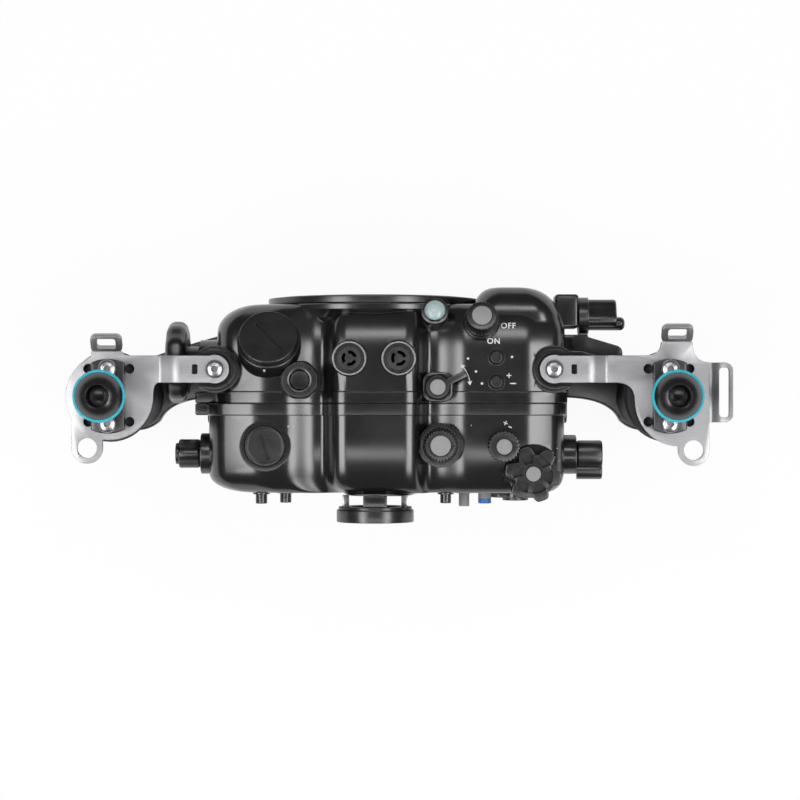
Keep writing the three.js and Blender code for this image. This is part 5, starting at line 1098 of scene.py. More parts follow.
def model_bracket(name):
    facts = BRACKETS[name]
    outline = left_plate_outline() if name == "left" else right_plate_outline()
    shift = Matrix.Translation((0, PARTING_Y * MM, 0))
    plate = prism(name + "_steel_bracket", outline, BRACKET_Z - STEEL, BRACKET_Z, shift, 0.3)
    spot = place(SCREW_XS[name], ARM_Y, ARM_Z)
    unite(plate, fold("arm", facts["line"], ARM_LOW, ARM_HIGH))
    arm_end = pad("arm_end", 7.4, -STEEL, 0, 0.3, 48, spot, steps=2)
    unite(plate, arm_end, hook_tab(*facts["hook"]))
    if name == "right":
        unite(plate, strap_loop())
    slot = rounded_rectangle(facts["slot"] - 1.45, facts["slot"] + 1.45, -13.0, -8.0, 0.7, 4)
    holes = [screw_hole(2.7, spot), prism("slot", slot, 138, 148)]
    holes.append(screw_hole(5.1, place(*facts["tab"], BRACKET_Z), 48))
    x = HAND_X[name]
    for y in (-BALL_FOOT["screws"], BALL_FOOT["screws"]):
        holes.append(screw_hole(2.7, place(x, HAND_Y + y, BRACKET_Z)))
    for spare_x in (x - 10.5, x + 10.5):
        holes += [screw_hole(2.5, place(spare_x, y, BRACKET_Z)) for y in (17.6, -9.4)]
    cut(plate, *holes)
    dress(smoothed(plate), "housing", "steel_plate", None, [name + "_bracket"])


def model_screw(head_r=4.75, socket_r=1.75):
    """A button-head screw with a hexagon socket, modelled at the origin."""
    head = [(head_r, 0), (head_r, 0.7)]
    head += [(head_r * c, 0.7 + 2.0 * s) for c, s in arc(0, 0, 1, 8, 62, 7)]
    profile = [(0, -7), (2.4, -7), (2.4, 0), *head, (1.95, 2.62), (0, 2.62)]
    screw = turned("button_screw", profile, 48)
    return smoothed(cut(screw, prism("socket", arc(0, 0, socket_r, 0, 300, 5), 1.0, 4)))


def model_screws():
    screw = model_screw()
    seat = BALL_FOOT["high"] + SEAT
    for name, x in HAND_X.items():
        spots = {
            "bracket_screw": place(SCREW_XS[name], ARM_Y, ARM_Z + SEAT, UP, 20),
            "rear_base_screw": place(x, HAND_Y - BALL_FOOT["screws"], seat, UP, 50),
            "front_base_screw": place(x, HAND_Y + BALL_FOOT["screws"], seat, UP, 5),
        }
        for node, spot in spots.items():
            made = settle(fine_copy(screw, name + "_" + node + "_head"), spot, 30)
            dress(made, "housing", "bright_steel", None, [name + "_" + node])
    rest_selection()
    remove(screw)


def model_ball_mount(name):
    x = HAND_X[name]
    r = 19
    half = math.degrees(math.asin(8.55 / r))
    outline = arc(0, 0, r, 90 - half, 90 + half, 12) + arc(0, 0, r, 270 - half, 270 + half, 12)
    low, high, screws = BALL_FOOT.values()
    base = prism(name + "_ball_foot", outline, low, high, place(x, HAND_Y, 0), 0.7, 40, 35, 3)
    for y in (-screws, screws):
        cut(base, screw_hole(2.7, place(x, HAND_Y + y, high), 32, 9))
    dress_turned(smoothed(base), "housing", name + "_ball_base")
    # The ball on its neck, with a groove for the seal and a drilled hole in its top.
    spot = place(x, HAND_Y, BALL_Z)
    profile = [(0, -29.4), *softened([(8.6, -29.4), (8.6, -25.4), (7.5, -24.3)], 0.5)]
    profile += arc(0, 0, BALL_R, -53, 9.97, 20)
    profile += [(10.8, 2.2), (10.8, 4.8)]
    profile += arc(0, 0, BALL_R, 22.2, 62.6, 12)
    profile += [(5.5, 11.0), (5.4, -2.0), (0, -5.2)]
    ball = turned(name + "_mount_ball", profile, 96, spot)
    dress(ball, "housing", "black_anodised", "polished_anodised", [name + "_ball"])
    loop = arc(12.1, 3.5, chosen("seal_tube"), 0, 360, 16)
    seal = turned(name + "_ball_seal", loop, 96, spot)
    dress(seal, "housing", "oring_teal", None, [name + "_ball_oring"])


# The handle's lowest and highest ring, its collar, its flares and where its grooves end.
GRIP = {"low": 26.3, "high": 146.7, "rings": 64, "collar": 8, "flare": 22, "fingers": 30}


def grip_half(foot, middle, top, z):
    """Half the handle's width or depth at a height: wider at its foot and under its collar."""
    flare = z - (GRIP["high"] - GRIP["collar"] - GRIP["flare"])
    top_share = min(1.0, max(0.0, flare / GRIP["flare"]))
    foot_share = min(1.0, max(0.0, 1 - (z - GRIP["low"]) / GRIP["flare"]))
    return middle + (top - middle) * top_share ** 2 + (foot - middle) * foot_share ** 2


def grip_rings():
    """Half width, half depth, shift and height of each ring of the handle."""
    low = GRIP["low"]
    high = GRIP["high"]
    rings = GRIP["rings"]
    made = []
    for i in range(rings + 1):
        z = low + (high - low) * i / rings
        share = min(1.0, (z - low) / (high - GRIP["fingers"] - low))
        wave = (1 - math.cos(math.pi * 8 * share)) / 2
        groove = wave * chosen("finger_depth") if share < 1 else 0.0
        rim = min(1.0, i / 2, (rings - i) / 2) * 0.04 + 0.96
        wide = grip_half(16, 13.6, 22, z)
        deep = grip_half(19, 16.6, 23.4, z) - groove / 2
        made.append((wide * rim, deep * rim, -groove / 2, z))
    return made


def model_grip(name):
    """A handle with four finger grooves on its front, extruded ring after ring."""
    x = HAND_X[name]
    rest_selection()
    start = Vector((x, PARTING_Y + HAND_Y, GRIP["low"])) * MM
    bpy.ops.mesh.primitive_circle_add(vertices=48, radius=MM, fill_type="NGON", location=start)
    piece = bpy.context.object
    piece.name = name + "_handle"
    bpy.ops.object.transform_apply(location=True, rotation=True, scale=True)
    bpy.ops.object.mode_set(mode="EDIT")
    select_all()
    now = (1.0, 1.0, 0.0, GRIP["low"])
    for i, then in enumerate(grip_rings()):
        if i:
            step = Vector((0, then[2] - now[2], then[3] - now[3])) * MM
            bpy.ops.mesh.extrude_region_move(TRANSFORM_OT_translate={"value": step})
        centre = Vector((x, PARTING_Y + HAND_Y + then[2], then[3])) * MM
        size = (then[0] / now[0], then[1] / now[1], 1)
        bpy.ops.transform.resize(value=size, center_override=centre)
        now = then
    close_mesh()
    settle(piece, None, 40)
    dress(piece, "housing", "grip_rubber", None, [name + "_grip"])


def model_lower_arm(name):
    """The arm from the housing's wall to the foot of a handle, drawn for the right side."""
    side = SIDES[name]
    start = FRONT[name] + side * 5.5
    reach = abs(HAND_X[name] - start)
    r = 19.0
    back = 3.0
    front = 38
    lean = math.radians(-135)
    join = (reach + r * math.cos(lean), HAND_Y + r * math.sin(lean))
    bend = (reach - r, front - (front - HAND_Y - r) / 2)
    points = [(0, back), *curve((0, back), (reach - r, back), join, 12)]
    points += arc(reach, HAND_Y, r, -130, 90, 40)
    points += curve((reach, HAND_Y + r), bend, (0, front), 14)
    spot = Matrix.Translation(Vector((start, PARTING_Y, 0)) * MM) @ Matrix.Diagonal((side, 1, 1, 1))
    arm = prism(name + "_tray_arm", points, 16, 26, spot, 1.2, 40, 35, 3)
    if side < 0:
        # Mirroring turned the faces inside out.
        only(arm)
        bpy.ops.object.mode_set(mode="EDIT")
        close_mesh()
    dress_blasted(arm, "housing", name + "_lower_arm")


# Controls.
def grey_cap(name, body, r, low, high, crown, matrix):
    dress(pad(name, r, low, high, 0.4, 64, matrix, crown), body, "grey_plastic")


def dial_parts(name, body, spot, node, rim, knurl, cap, depth):
    """A dial: a plain rim, a knurled crown and a matt grey cap, turned about its own shaft."""
    low, high, r, teeth, tooth, taper = knurl
    crown = prism(name, toothed(r, tooth, teeth), low, high, spot, 0.3, 60, 30, 2, taper)
    if rim:
        rim_r, rim_high = rim
        unite(crown, pad("rim", rim_r, SEAT, rim_high, 0.6, 80, spot, 0.01))
    unite(crown, shaft(2.2, depth, low + 0.4, spot))
    cap_r, cap_high = cap
    cut(crown, disc("cap_seat", cap_r + 0.25, high - 0.5, high + 2, 64, spot))
    dress_turned(smoothed(crown), body, node)
    grey_cap(name + "_cap", body, cap_r, high - 0.6, cap_high - 0.25, 0.25, spot)


def model_dials():
    """Each has a rim (radius, height), a crown (low, high, radius, teeth, depth of a tooth,
    taper), a cap (radius, height) and the depth of its shaft."""
    dial_parts(
        "power_crown", "power_switch", POWER_PLACE, "power_knob",
        (8.9, 3.0), (2.8, 8.3, 8.7, 28, 0.35, 0.9), (5.1, 9.5), 12,
    )
    dial_parts(
        "mode_crown", "mode_control", MODE_PLACE, "mode_dial",
        (10.15, 1.6), (1.4, 7.3, 9.4, 30, 0.8, 0.83), (5.25, 8.3), 8,
    )
    dial_parts(
        "exposure_crown", "exposure_control", EXPOSURE_PLACE, "exposure_dial",
        None, (0.3, 5.8, 8.15, 24, 0.6, 0.95), (4.0, 6.8), 8,
    )


def model_star_dial(start=-10):
    """Six wide lobes with a dished pocket in each and deep notches between them."""
    outline = notched(14.6, 4.7, 6, 24, start, 0.7)
    star = prism("star_crown", outline, 0.3, 7.3, STAR_PLACE, 1.4, 50, 30, 4)
    for middle in range(start, start + 360, 60):
        pocket = arc(0, 0, 10.2, middle - 23, middle + 23, 10)
        pocket += arc(0, 0, 5.6, middle + 19, middle - 19, 8)
        cut(star, prism("pocket", pocket, 4.4, 9, STAR_PLACE))
    unite(star, shaft(2.2, 8, 1, STAR_PLACE))
    cut(star, disc("cap_seat", 4.1, 6.8, 9, 64, STAR_PLACE))
    dress_turned(smoothed(star), "star_control", "star_dial")
    grey_cap("star_cap", "star_control", 3.85, 6.7, 8.3, 0.2, STAR_PLACE)


def model_selector():
    spot = SELECTOR_PLACE @ Matrix.Rotation(math.radians(26), 4, "Z")
    knob = pad("selector_knob", 6, SEAT, 6.7, 0.6, 72, spot, 0.01)
    unite(knob, block("arm", 2, 16, -1.7, 1.7, 2.7, 6.1, spot, 0.5))
    unite(knob, shaft(2.2, 10, 1, spot))
    cut(knob, disc("cap_seat", 4.3, 6.2, 9, 64, spot))
    dress_turned(smoothed(knob), "selector", "selector_lever")
    grey_cap("selector_cap", "selector", 4.05, 6.1, 7.4, 0.1, spot)


def button_profile(r, top, stem, wall):
    """A push button through a wall: a collar inside, a stem and a soft tip with a ring."""
    tip = top - chosen("blue_tip")
    collar = [(0, -stem), (r + 0.8, -stem), (r + 0.8, -wall - 0.8), (r, -wall - 0.8)]
    return collar + softened([(r, tip), (r, top), (r * 0.5, top), (0, top - 0.15)], 0.5)


def grey_behind_tip(piece):
    """Keeps the colour of a back button on its tip and makes the rest grey."""
    piece.data.materials.append(bpy.data.materials["grey_abs"])
    tip = min(vertex.co.y for vertex in piece.data.vertices) + chosen("blue_tip") * MM
    for face in piece.data.polygons:
        if face.center.y > tip:
            face.material_index = 1


def model_buttons():
    for name, y in ROOF_BUTTONS.items():
        profile = button_profile(3.1, 2.6, 8.4, 5.8)
        piece = turned(name + "_roof_key_top", profile, 48, roof_button_place(y))
        dress_turned(piece, name + "_roof_key", name + "_roof_button")
    piece = turned("lens_release_key", button_profile(4.5, 3.2, 9, 6), 48, LENS_BUTTON_PLACE)
    dress_turned(piece, "lens_release", "lens_release_button")
    plastic = {"record": "grey_plastic", "play": "blue_plastic"}
    for name, (x, z, r, reach) in BACK_BUTTONS.items():
        profile = button_profile(r, reach + BACK_BUTTON_Y, 9, 7)
        piece = turned(name + "_key_top", profile, 48, back_button_place(x, z))
        if name in plastic:
            dress(piece, name + "_key", plastic[name], None, [name + "_button"])
        else:
            dress_turned(piece, name + "_key", name + "_button")
        if name == "play":
            grey_behind_tip(piece)


def model_zoom():
    spot = ZOOM_PLACE
    wheel = lobed(21.85, 0.7, 12, 10)
    knob = prism("zoom_wheel", wheel, 6.4, 17.4, spot, chosen("zoom_rim"), 50, 30, 6)
    collar = softened([(4, SEAT), (8.5, SEAT), (8.5, 7), (4, 7)], 0.5)
    unite(knob, turned("collar", [(0, SEAT), *collar[1:], (0, 7)], 64, spot))
    unite(knob, shaft(4, 27.9, 8, spot, 40))
    face = softened([(0, 16.4), (15, 16.4), (16.2, 18)], 0.6)
    cut(knob, turned("face_dish", [*face, (0, 18)], 80, spot))
    dress_turned(smoothed(knob), "zoom_control", "zoom_knob")


def model_front_dial():
    spot = DIAL_BLOCK_PLACE
    wings = lobed(8.7, 2.4, 3, 24, 90)
    knob = prism("front_dial_wings", wings, 3.5, 20.3, spot, 1.4, 50, 30, 3)
    tail = [(0, 3.5), (3.5, 3.5), *arc(1.0, 22.0, 2.5, 0, 90, 6), (0, 24.5)]
    tail_spot = spot @ Matrix.Translation(Vector((-2.9, -4.1, 0)) * MM)
    unite(knob, turned("tail", tail, 40, tail_spot))
    unite(knob, pad("hub", 9.8, SEAT, 5.5, 0.6, 80, spot, 0.01))
    unite(knob, shaft(2.6, 12.3, 1, spot))
    dress_turned(smoothed(knob), "front_dial", "front_dial_knob")


def side_knob(name, body, node, spot, outline, low, high, depth, tip=None, lobe=None):
    """A knob on a side wall, with a narrower tip or with a round lobe along its back."""
    knob = prism(name, outline, low, high, spot, 1.1, 50, 30, 3)
    if tip:
        unite(knob, boss(tip, 2, spot @ Matrix.Translation((0, 0, high * MM)), 1.6, 0.6))
        high += 1.6
    if lobe:
        round_r, back = lobe
        lobe_spot = spot @ Matrix.Translation((0, -back * MM, 0))
        unite(knob, pad("lobe", round_r, low, high, 1.0, 48, lobe_spot))
    unite(knob, shaft(2.4, depth, low + 1, spot))
    face = softened([(0, high - 0.5), (3.4, high - 0.5), (3.9, high + 1)], 0.3)
    cut(knob, turned("face_dish", [*face, (0, high + 1)], 48, spot))
    dress_turned(smoothed(knob), body, node)


def model_side_knobs():
    side_knob(
        "right_wing_knob", "right_knob", "right_side_knob", RIGHT_KNOB_PLACE,
        lobed(7.7, 0.6, 3, 20), 0.4, 13.7, 13.9, lobe=(4.5, 8.5),
    )
    side_knob(
        "left_lobe_knob", "left_knob", "left_side_knob", LEFT_KNOB_PLACE,
        lobed(7.55, 1, 4, 20), 0.5, 11.7, 11.6, tip=5.6,
    )


def link_outline(hub_r, tip_r, length):
    """A lever seen from above: a round hub, straight flanks and a round tip."""
    lean = math.degrees(math.asin((hub_r - tip_r) / length))
    hub = arc(0, 0, hub_r, 90 - lean, 270 + lean, 28)
    return hub + arc(length, 0, tip_r, -90 + lean, 90 - lean, 18)


def model_levers():
    spot = SHUTTER_PLACE
    lever = prism("shutter_pull", link_outline(4.2, 4, 19), 3, 7, spot, 0.7, 40, 35, 3)
    unite(lever, pad("hub", 4.6, 0, 7.0, 0.5, 48, spot, 0.01))
    unite(lever, shaft(2, 5, 1, spot))
    dress_blasted(smoothed(lever), "shutter", "shutter_lever")
    spot = PORT_LOCK_PLACE
    lever = prism("port_lock_arm", link_outline(5, 3, 15), SEAT, 3.3, spot, 0.6, 40)
    unite(lever, shaft(2, 4, 1, spot))
    dress_turned(smoothed(lever), "port_lock", "port_lock_lever")
    arm = link_outline(6, 4, 20)
    for name, spot in LATCH_PLACES.items():
        lever = prism(name + "_latch_arm", arm, SEAT, 4.3, spot, 0.8, 40, 35, 3)
        unite(lever, shaft(2.2, 7, 1, spot))
        dress_blasted(smoothed(lever), name + "_side_latch", name + "_latch")


# Viewfinder, window and control wheel on the back.
def model_finder():
    """The eyepiece's ring on two narrow and two wide posts, with its glass."""
    loop = [(13, 53.7), (19.1, 53.7), (19.1, 55.3), (20.1, 55.3), (20.1, 61.7)]
    loop += [(15.3, 61.7), (15.3, 57), (13, 57)]
    loop = softened(loop, 0.4, 2, True)
    eyepiece = turned("eyepiece_ring", loop + loop[:1], 96, FINDER_PLACE)
    dress_turned(eyepiece, "back_cover", "finder_ring")
    posts = ((2.5, "bright_steel"), (6.1, "black_anodised")) * 2
    for i, (half, slot) in enumerate(posts):
        name = "eyepiece_post_" + str(i + 1)
        spot = FINDER_PLACE @ Matrix.Rotation(math.pi / 2 * i, 4, "Z")
        post = block(name, 13.6, 17.0, -half, half, 47.7, 54.0, spot, 0.5)
        dress(post, "back_cover", slot)
    glass = pad("eyepiece_glass", 15, 57.3, 59.3, 0.3, 80, FINDER_PLACE, steps=2)
    dress(glass, "back_cover", "clear_window", None, ["finder_glass"])


def model_window():
    pane = rounded_rectangle(-44, 44, -31, 31, 6)
    window = prism("rear_pane", pane, -3, 0, WINDOW_PLACE, 0.4)
    dress(window, "back_cover", "clear_window", None, ["rear_window"])


def model_wheel():
    knob = prism("wheel_rim", lobed(14.2, 0.9, 24, 6), 1.1, 4.5, WHEEL_PLACE, 0.5, 50, 30)
    unite(knob, pad("hub", 7, 4, 6.2, 0.5, 64, WHEEL_PLACE, 0.01))
    unite(knob, shaft(3, 6, 2, WHEEL_PLACE))
    dress_turned(smoothed(knob), "wheel", "control_wheel")


# Marks rubbed with white paint.
def lay_on(piece, target):
    """Drops a flat mark onto the roof under it, a little proud so that it shows."""
    only(piece)
    made = piece.modifiers.new("drop", "SHRINKWRAP")
    made.target = target
    made.wrap_method = "PROJECT"
    made.use_project_z = True
    made.use_negative_direction = True
    made.use_positive_direction = False
    made.offset = 0.04 * MM
    bpy.ops.object.modifier_apply(modifier=made.name)


def roof_point(px, py, z=142.5):
    """Where a point of the camera's view meets the roof, in x and y from the parting plane."""
    middle = VIEW_WIDTH / 2
    share = (CAMERA["z"] - z) / VIEW_REACH
    return (
        CAMERA["x"] + (px - middle) * share,
        CAMERA["y"] - PARTING_Y - (py - middle) * share,
    )


def laid(piece, x, y, target, turn):
    """Lays a flat mark on the roof and gives it the thickness of its paint."""
    settle(piece, place(x, y, 200, UP, turn))
    lay_on(piece, target)
    only(piece)
    made = piece.modifiers.new("paint", "SOLIDIFY")
    made.thickness = chosen("paint_depth") * MM
    made.offset = 1.0
    bpy.ops.object.modifier_apply(modifier=made.name)
    bpy.ops.object.mode_set(mode="EDIT")
    close_mesh()
    body = "housing" if target.name == "front_shell" else "back_cover"
    return dress(piece, body, None, "white_paint")


def mark_piece(name, outline, x, y, target, turn=0.0):
    piece = draw_line(name, [(px, py, 0) for px, py in outline])
    select_all()
    bpy.ops.mesh.edge_face_add()
    bpy.ops.object.mode_set(mode="OBJECT")
    return laid(piece, x, y, target, turn)


def text_mark(name, words, x, y, target):
    rest_selection()
    bpy.ops.object.text_add(location=(0, 0, 0))
    letters = bpy.context.object
    letters.name = name
    letters.data.body = words
    letters.data.size = chosen("letter_size") * MM
    letters.data.offset = 0.07 * MM
    letters.data.space_character = 1.12
    letters.data.align_x = "CENTER"
    letters.data.align_y = "CENTER"
    letters.data.resolution_u = 4
    bpy.ops.object.convert(target="MESH")
    piece = bpy.context.object
    bpy.ops.object.mode_set(mode="EDIT")
    select_all()
    bpy.ops.mesh.remove_doubles(threshold=0.001 * MM)
    bpy.ops.object.mode_set(mode="OBJECT")
    return laid(piece, x, y, target, 0.0)


def bar(length, width):
    x = length / 2
    y = width / 2
    return [(-x, -y), (x, -y), (x, y), (-x, y)]


def plus(reach, width):
    """The outline of a plus sign."""
    points = []
    for c, s in ((1, 0), (0, 1), (-1, 0), (0, -1)):
        for x, y in ((width, -width), (reach, -width), (reach, width)):
            points.append((x * c - y * s, x * s + y * c))
    return points


def arc_arrow(r, start, end, width, head):
    """A curved line with an arrow head at either end."""
    turn = math.degrees(head / r)
    inner = r - 0.62 * head
    outer = r + 0.62 * head
    far = arc(0, 0, r + width, start + turn, end - turn, 14)
    near = arc(0, 0, r - width, end - turn, start + turn, 14)
    corners = (
        (outer, end - turn), (r, end), (inner, end - turn),
        (inner, start + turn), (r, start), (outer, start + turn),
    )
    tips = [arc(0, 0, reach, angle, angle, 1)[0] for reach, angle in corners]
    return far + tips[:3] + near + tips[3:]


def model_marks():
    """Lays the marks at points of the camera's view."""
    front = bpy.data.objects["front_shell"]
    back = bpy.data.objects["back_shell"]
    text_mark("mark_off", "OFF", *roof_point(508.4, 325.8), front)
    text_mark("mark_on", "ON", *roof_point(493.6, 341.2), front)
    arrow = arc_arrow(16.7, 3, 45, 0.22, 2.1)
    mark_piece("mark_selector_arrow", arrow, 33.5, 8.3, front)
    dot = arc(0, 0, 0.62, 0, 345, 23)
    dots = ((512, 357), (482, 383.5), (468, 358.5), (476, 371.5), (265, 371))
    for i, spot in enumerate(dots):
        mark_piece("mark_dot_" + str(i + 1), dot, *roof_point(*spot), front)
    bars = (
        (513, 383.5, 3.2, 0, front), (463.5, 425.5, 8.2, 0, back), (291, 426.5, 3.6, 0, back),
        (559, 455, 7.0, -80, back), (552, 471, 4.0, -68, back), (510, 427, 1.9, -24, back),
    )
    for i, (px, py, length, turn, target) in enumerate(bars):
        line = bar(length, 0.62)
        mark_piece("mark_bar_" + str(i + 1), line, *roof_point(px, py), target, turn)
    mark_piece("mark_plus_roof", plus(1.25, 0.28), *roof_point(509, 375.5), front)
    mark_piece("mark_plus_exposure", plus(1.15, 0.28), *roof_point(505.5, 423), back, -24)


# What a user can change in the sidebar.
def sidebar_length(label, words, size, low=-2000.0, high=2000.0):
    """A length, given in millimetres."""
    return bpy.props.FloatProperty(
        name=label, description=words, default=size * MM, min=low * MM, max=high * MM,
        unit="LENGTH",
    )


def sidebar_colour(label, words, hex_colour):
    return bpy.props.FloatVectorProperty(
        name=label, description=words, default=linear(hex_colour)[:3], min=0, max=1,
        subtype="COLOR",
    )


def sidebar_amount(label, words, value, subtype="NONE"):
    return bpy.props.FloatProperty(
        name=label, description=words, default=value, min=0, subtype=subtype,
    )


class HousingSizes(bpy.types.PropertyGroup):
    """Sizes of the housing's small forms."""

    finger_depth: sidebar_length("Finger grooves", "Depth of the grooves in the handles", 1.8, 0, 4)
    seal_tube: sidebar_length("Ball seals", "Half the thickness of the balls' rings", 1, 0.3, 1.2)
    zoom_rim: sidebar_length("Zoom wheel rim", "Rounding of the zoom wheel's rims", 4.6, 0.5, 5)
    blue_tip: sidebar_length("Blue tip", "Length of the blue tip of the play button", 2.6, 1, 4)
    letter_size: sidebar_length("Letters", "Size of the painted letters", 4.1, 1, 6)
    paint_depth: sidebar_length("Paint", "Thickness of the painted marks", 0.06, 0.02, 0.3)


class HousingColours(bpy.types.PropertyGroup):
    """Colours of the housing's finishes."""

    anodised: sidebar_colour("Anodised", "Black anodised metal", "#141416")
    gloss: sidebar_colour("Glossy black", "Mounting balls", "#0c0c0e")
    steel: sidebar_colour("Plate steel", "Satin stainless plate", "#b0b0b2")
    bright: sidebar_colour("Bright steel", "Screws and bezels", "#b4b4b6")
    cap: sidebar_colour("Caps", "Matt grey caps", "#8c8c8c")
    blue: sidebar_colour("Blue key", "Tip of the blue push button", "#2a72c0")
    seal: sidebar_colour("Seals", "Silicone rings", "#33b4c8")
    rubber: sidebar_colour("Handles", "Moulded sleeves", "#1d1e20")
    lens: sidebar_colour("Flash discs", "Polished black discs", "#343436")
    dome: sidebar_colour("Lamp dome", "Milky dome of the leak lamp", "#b4bebf")
    board: sidebar_colour("Circuit board", "Solder mask", "#1f5a3a")
    marks: sidebar_colour("Marks", "Paint in the engraved marks", "#e8e8e6")


class HousingStage(bpy.types.PropertyGroup):
    """Camera and lights round the housing."""

    camera_x: sidebar_length("Camera X", "Camera's place across", CAMERA["x"])
    camera_y: sidebar_length("Camera Y", "Camera's place along", CAMERA["y"])
    camera_z: sidebar_length("Camera height", "Camera above the floor", CAMERA["z"])
    lens: sidebar_amount("Focal length", "Lens of the camera", 104.7, "DISTANCE_CAMERA")
    side_power: sidebar_amount("Side lights", "Power of the two long side lights", 11.5, "POWER")
    end_power: sidebar_amount("End lights", "Power of the lights in front and behind", 3.0, "POWER")
    sky: sidebar_amount("Sky", "Strength of the even light all round", 0.12, "FACTOR")


# Stage, in metres. Each softbox has its place and aim, its size, the sidebar power that it
# takes and its share of that.
SIDE_AIM = (0.014, -0.35, 0.14)
END_AIM = (0.014, -0.028, 0.14)
SOFTBOXES = {
    "left_softbox": ((-0.8, -0.35, 1.2), SIDE_AIM, (1.4, 0.42), "side_power", 1.0),
    "right_softbox": ((0.8, -0.35, 1.2), SIDE_AIM, (1.4, 0.42), "side_power", 1.0),
    "front_softbox": ((0.0, 0.6, 1.25), END_AIM, (0.9, 0.2), "end_power", 1.0),
    "back_softbox": ((0.0, -0.4, 1.25), END_AIM, (0.9, 0.2), "end_power", 0.6),
}
WHITE_SHARE = 0.93  # of the floor's look; the rest keeps a faint shadow under the housing


def make_finishes():
    for name, (looks, *steps) in FINISHES.items():
        surface(name, looks, *steps)


def dress_frame():
    """Every carried-over node gets the finish of its record slot."""
    slots = {row["node"]: row["material_slot"] for row in frame["record"]["subparts"]}
    for name, node in frame["nodes"].items():
        node.data.materials.clear()
        node.data.materials.append(bpy.data.materials[FINISH_OF_SLOT[slots[name]]])


def area_light(name, power, size, spot, aim):
    light = bpy.data.lights.new(name, "AREA")
    light.shape = "RECTANGLE"
    light.energy = power
    light.size, light.size_y = size
    holder = bpy.data.objects.new(name, light)
    bpy.context.scene.collection.objects.link(holder)
    holder.location = spot
    holder.rotation_mode = "QUATERNION"
    holder.rotation_quaternion = (Vector(aim) - Vector(spot)).to_track_quat("-Z", "Y")


def seen_white(tree, plain):
    """Mixes a shader with white for the rays by which a camera, metal or glass sees it."""
    path = add_node(tree, "ShaderNodeLightPath")
    sight = path.outputs["Is Camera Ray"]
    for extra in ("Is Glossy Ray", "Is Transmission Ray"):
        links = {0: sight, 1: path.outputs[extra]}
        sight = add_node(tree, "ShaderNodeMath", {"operation": "MAXIMUM"}, links).outputs[0]
    settings = {"operation": "MULTIPLY", 1: WHITE_SHARE}
    share = add_node(tree, "ShaderNodeMath", settings, {0: sight}).outputs[0]
    white = add_node(tree, "ShaderNodeEmission").outputs[0]
    links = {0: share, 1: plain, 2: white}
    return add_node(tree, "ShaderNodeMixShader", None, links).outputs[0]


def make_floor():
    """A sheet of matt paper that is white where it is seen."""
    rest_selection()
    bpy.ops.mesh.primitive_plane_add(size=6, location=(0, 0, 0))
    floor = bpy.context.object
    floor.name = "floor"
    made = surface("paper_floor", {"Roughness": 0.9, "Base Color": linear("#f4f4f4")})
    tree = made.node_tree
    shader = next(node for node in tree.nodes if node.type == "BSDF_PRINCIPLED")
    exit_node = next(node for node in tree.nodes if node.type == "OUTPUT_MATERIAL")
    tree.links.new(seen_white(tree, shader.outputs[0]), exit_node.inputs["Surface"])
    floor.data.materials.append(made)


def make_world(sky):
    """An even sky that the camera sees as white."""
    world = bpy.data.worlds.new("studio")
    bpy.context.scene.world = world
    world.use_nodes = True
    tree = world.node_tree
    background = next(node for node in tree.nodes if node.type == "BACKGROUND")
    background.inputs["Color"].default_value = (1, 1, 1, 1)
    sight = add_node(tree, "ShaderNodeLightPath").outputs["Is Camera Ray"]
    ends = {"To Min": sky, "To Max": 1.0}
    strength = add_node(tree, "ShaderNodeMapRange", ends, {"Value": sight})
    tree.links.new(strength.outputs["Result"], background.inputs["Strength"])


def make_stage():
    """Two long softboxes at the sides, a narrow one in front and behind, and the camera."""
    stage = bpy.context.scene.housing_stage
    make_floor()
    make_world(stage.sky)
    for name, (spot, aim, size, power, share) in SOFTBOXES.items():
        area_light(name, getattr(stage, power) * share, size, spot, aim)
    data = bpy.data.cameras.new("camera")
    data.lens = stage.lens
    data.sensor_width = 36
    data.clip_start = 0.05
    data.clip_end = 20
    camera = bpy.data.objects.new("camera", data)
    bpy.context.scene.collection.objects.link(camera)
    camera.location = (stage.camera_x, stage.camera_y, stage.camera_z)
    bpy.context.scene.camera = camera
    bpy.context.scene.view_settings.view_transform = "Standard"


OPERATORS = []


def operator(name, label, words, *steps):
    """Makes an operator class that models one piece or one group of like pieces."""
    def execute(self, context):
        for step in steps:
            step()
        return {"FINISHED"}

    facts = {
        "bl_idname": "housing." + name,
        "bl_label": label,
        "__doc__": words,
        "execute": execute,
    }
    OPERATORS.append(type("HOUSING_OT_" + name, (bpy.types.Operator,), facts))


def both(model):
    """A step that models the left piece and then the right one."""
    def step():
        for name in SIDES:
            model(name)
    return step


operator(
    "finishes", "Finishes", "Makes the finishes and dresses the frame",
    make_finishes, dress_frame,
)
operator("front_shell", "Front shell", "Models the front half with its bosses", model_front_shell)
operator("back_shell", "Back shell", "Models the back half with its bosses", model_back_shell)
operator("seal", "Main seal", "Models the seal between the halves", model_main_seal)
operator("port", "Lens port", "Models the ring of the lens port and its seal", model_port_ring)
operator("plate", "Tripod plate", "Models the tripod plate", model_tripod_plate)
operator("plugs", "Plugs", "Models the slotted plugs", model_plugs)
operator("valve", "Valve cap", "Models the dished valve cap", model_valve)
operator("optics", "Flash windows", "Models the two flash windows", model_optics)
operator("dome", "Leak lamp", "Models the dome of the leak lamp", model_dome)
operator("brackets", "Brackets", "Models the two steel brackets", both(model_bracket))
operator("screws", "Screws", "Models one screw and copies it to its places", model_screws)
operator("balls", "Ball mounts", "Models the two ball mounts", both(model_ball_mount))
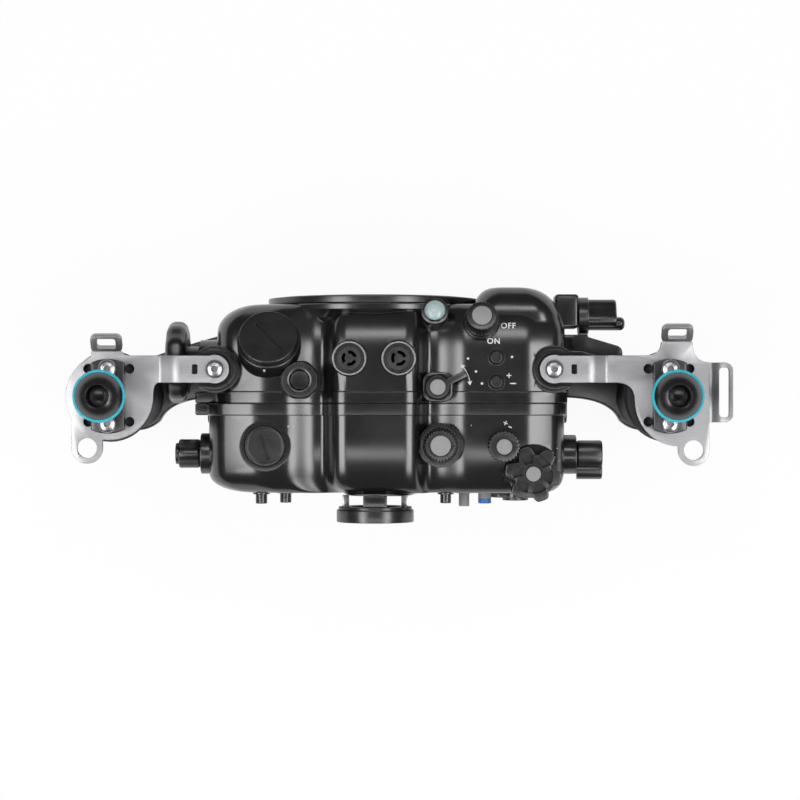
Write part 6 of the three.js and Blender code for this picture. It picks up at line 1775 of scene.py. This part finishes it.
operator(
    "handles", "Handles", "Models the handles and the arms under them",
    both(model_grip), both(model_lower_arm),
)
operator("dials", "Dials", "Models the knurled dials and their caps", model_dials)
operator("star", "Star dial", "Models the lobed dial", model_star_dial)
operator("selector", "Selector", "Models the selector and its arm", model_selector)
operator("buttons", "Buttons", "Models the push buttons", model_buttons)
operator("zoom", "Zoom wheel", "Models the zoom wheel", model_zoom)
operator("front_dial", "Front dial", "Models the winged dial on the right", model_front_dial)
operator("side_knobs", "Side knobs", "Models the two side knobs of the back", model_side_knobs)
operator("levers", "Levers", "Models the levers and latches", model_levers)
operator("finder", "Viewfinder", "Models the eyepiece, its posts and its glass", model_finder)
operator("window", "Window", "Models the rear window", model_window)
operator("wheel", "Control wheel", "Models the wheel on the back", model_wheel)
operator("marks", "Marks", "Lays the painted marks on the roof", model_marks)
operator("stage", "Stage", "Makes the floor, lights and camera", make_stage)


class HOUSING_PT_sidebar(bpy.types.Panel):
    """Lists the pieces and settings of the housing."""

    bl_idname = "HOUSING_PT_sidebar"
    bl_label = "Camera housing"
    bl_space_type = "VIEW_3D"
    bl_region_type = "UI"
    bl_category = "Housing"

    def draw(self, context):
        layout = self.layout
        for kept in GROUPS:
            group = getattr(context.scene, kept)
            box = layout.box()
            for name in group.__annotations__:
                box.prop(group, name)
        for made in OPERATORS:
            layout.operator(made.bl_idname)


GROUPS = {
    "housing_sizes": HousingSizes,
    "housing_colours": HousingColours,
    "housing_stage": HousingStage,
}
CLASSES = [*GROUPS.values(), HOUSING_PT_sidebar, *OPERATORS]


def register():
    for made in CLASSES:
        bpy.utils.register_class(made)
    for name, group in GROUPS.items():
        setattr(bpy.types.Scene, name, bpy.props.PointerProperty(type=group))


def unregister():
    for name in GROUPS:
        delattr(bpy.types.Scene, name)
    for made in reversed(CLASSES):
        bpy.utils.unregister_class(made)


def main():
    register()
    for made in OPERATORS:
        getattr(bpy.ops.housing, made.bl_idname.split(".")[1])()
    rest_selection()


if __name__ == "__main__":
    main()
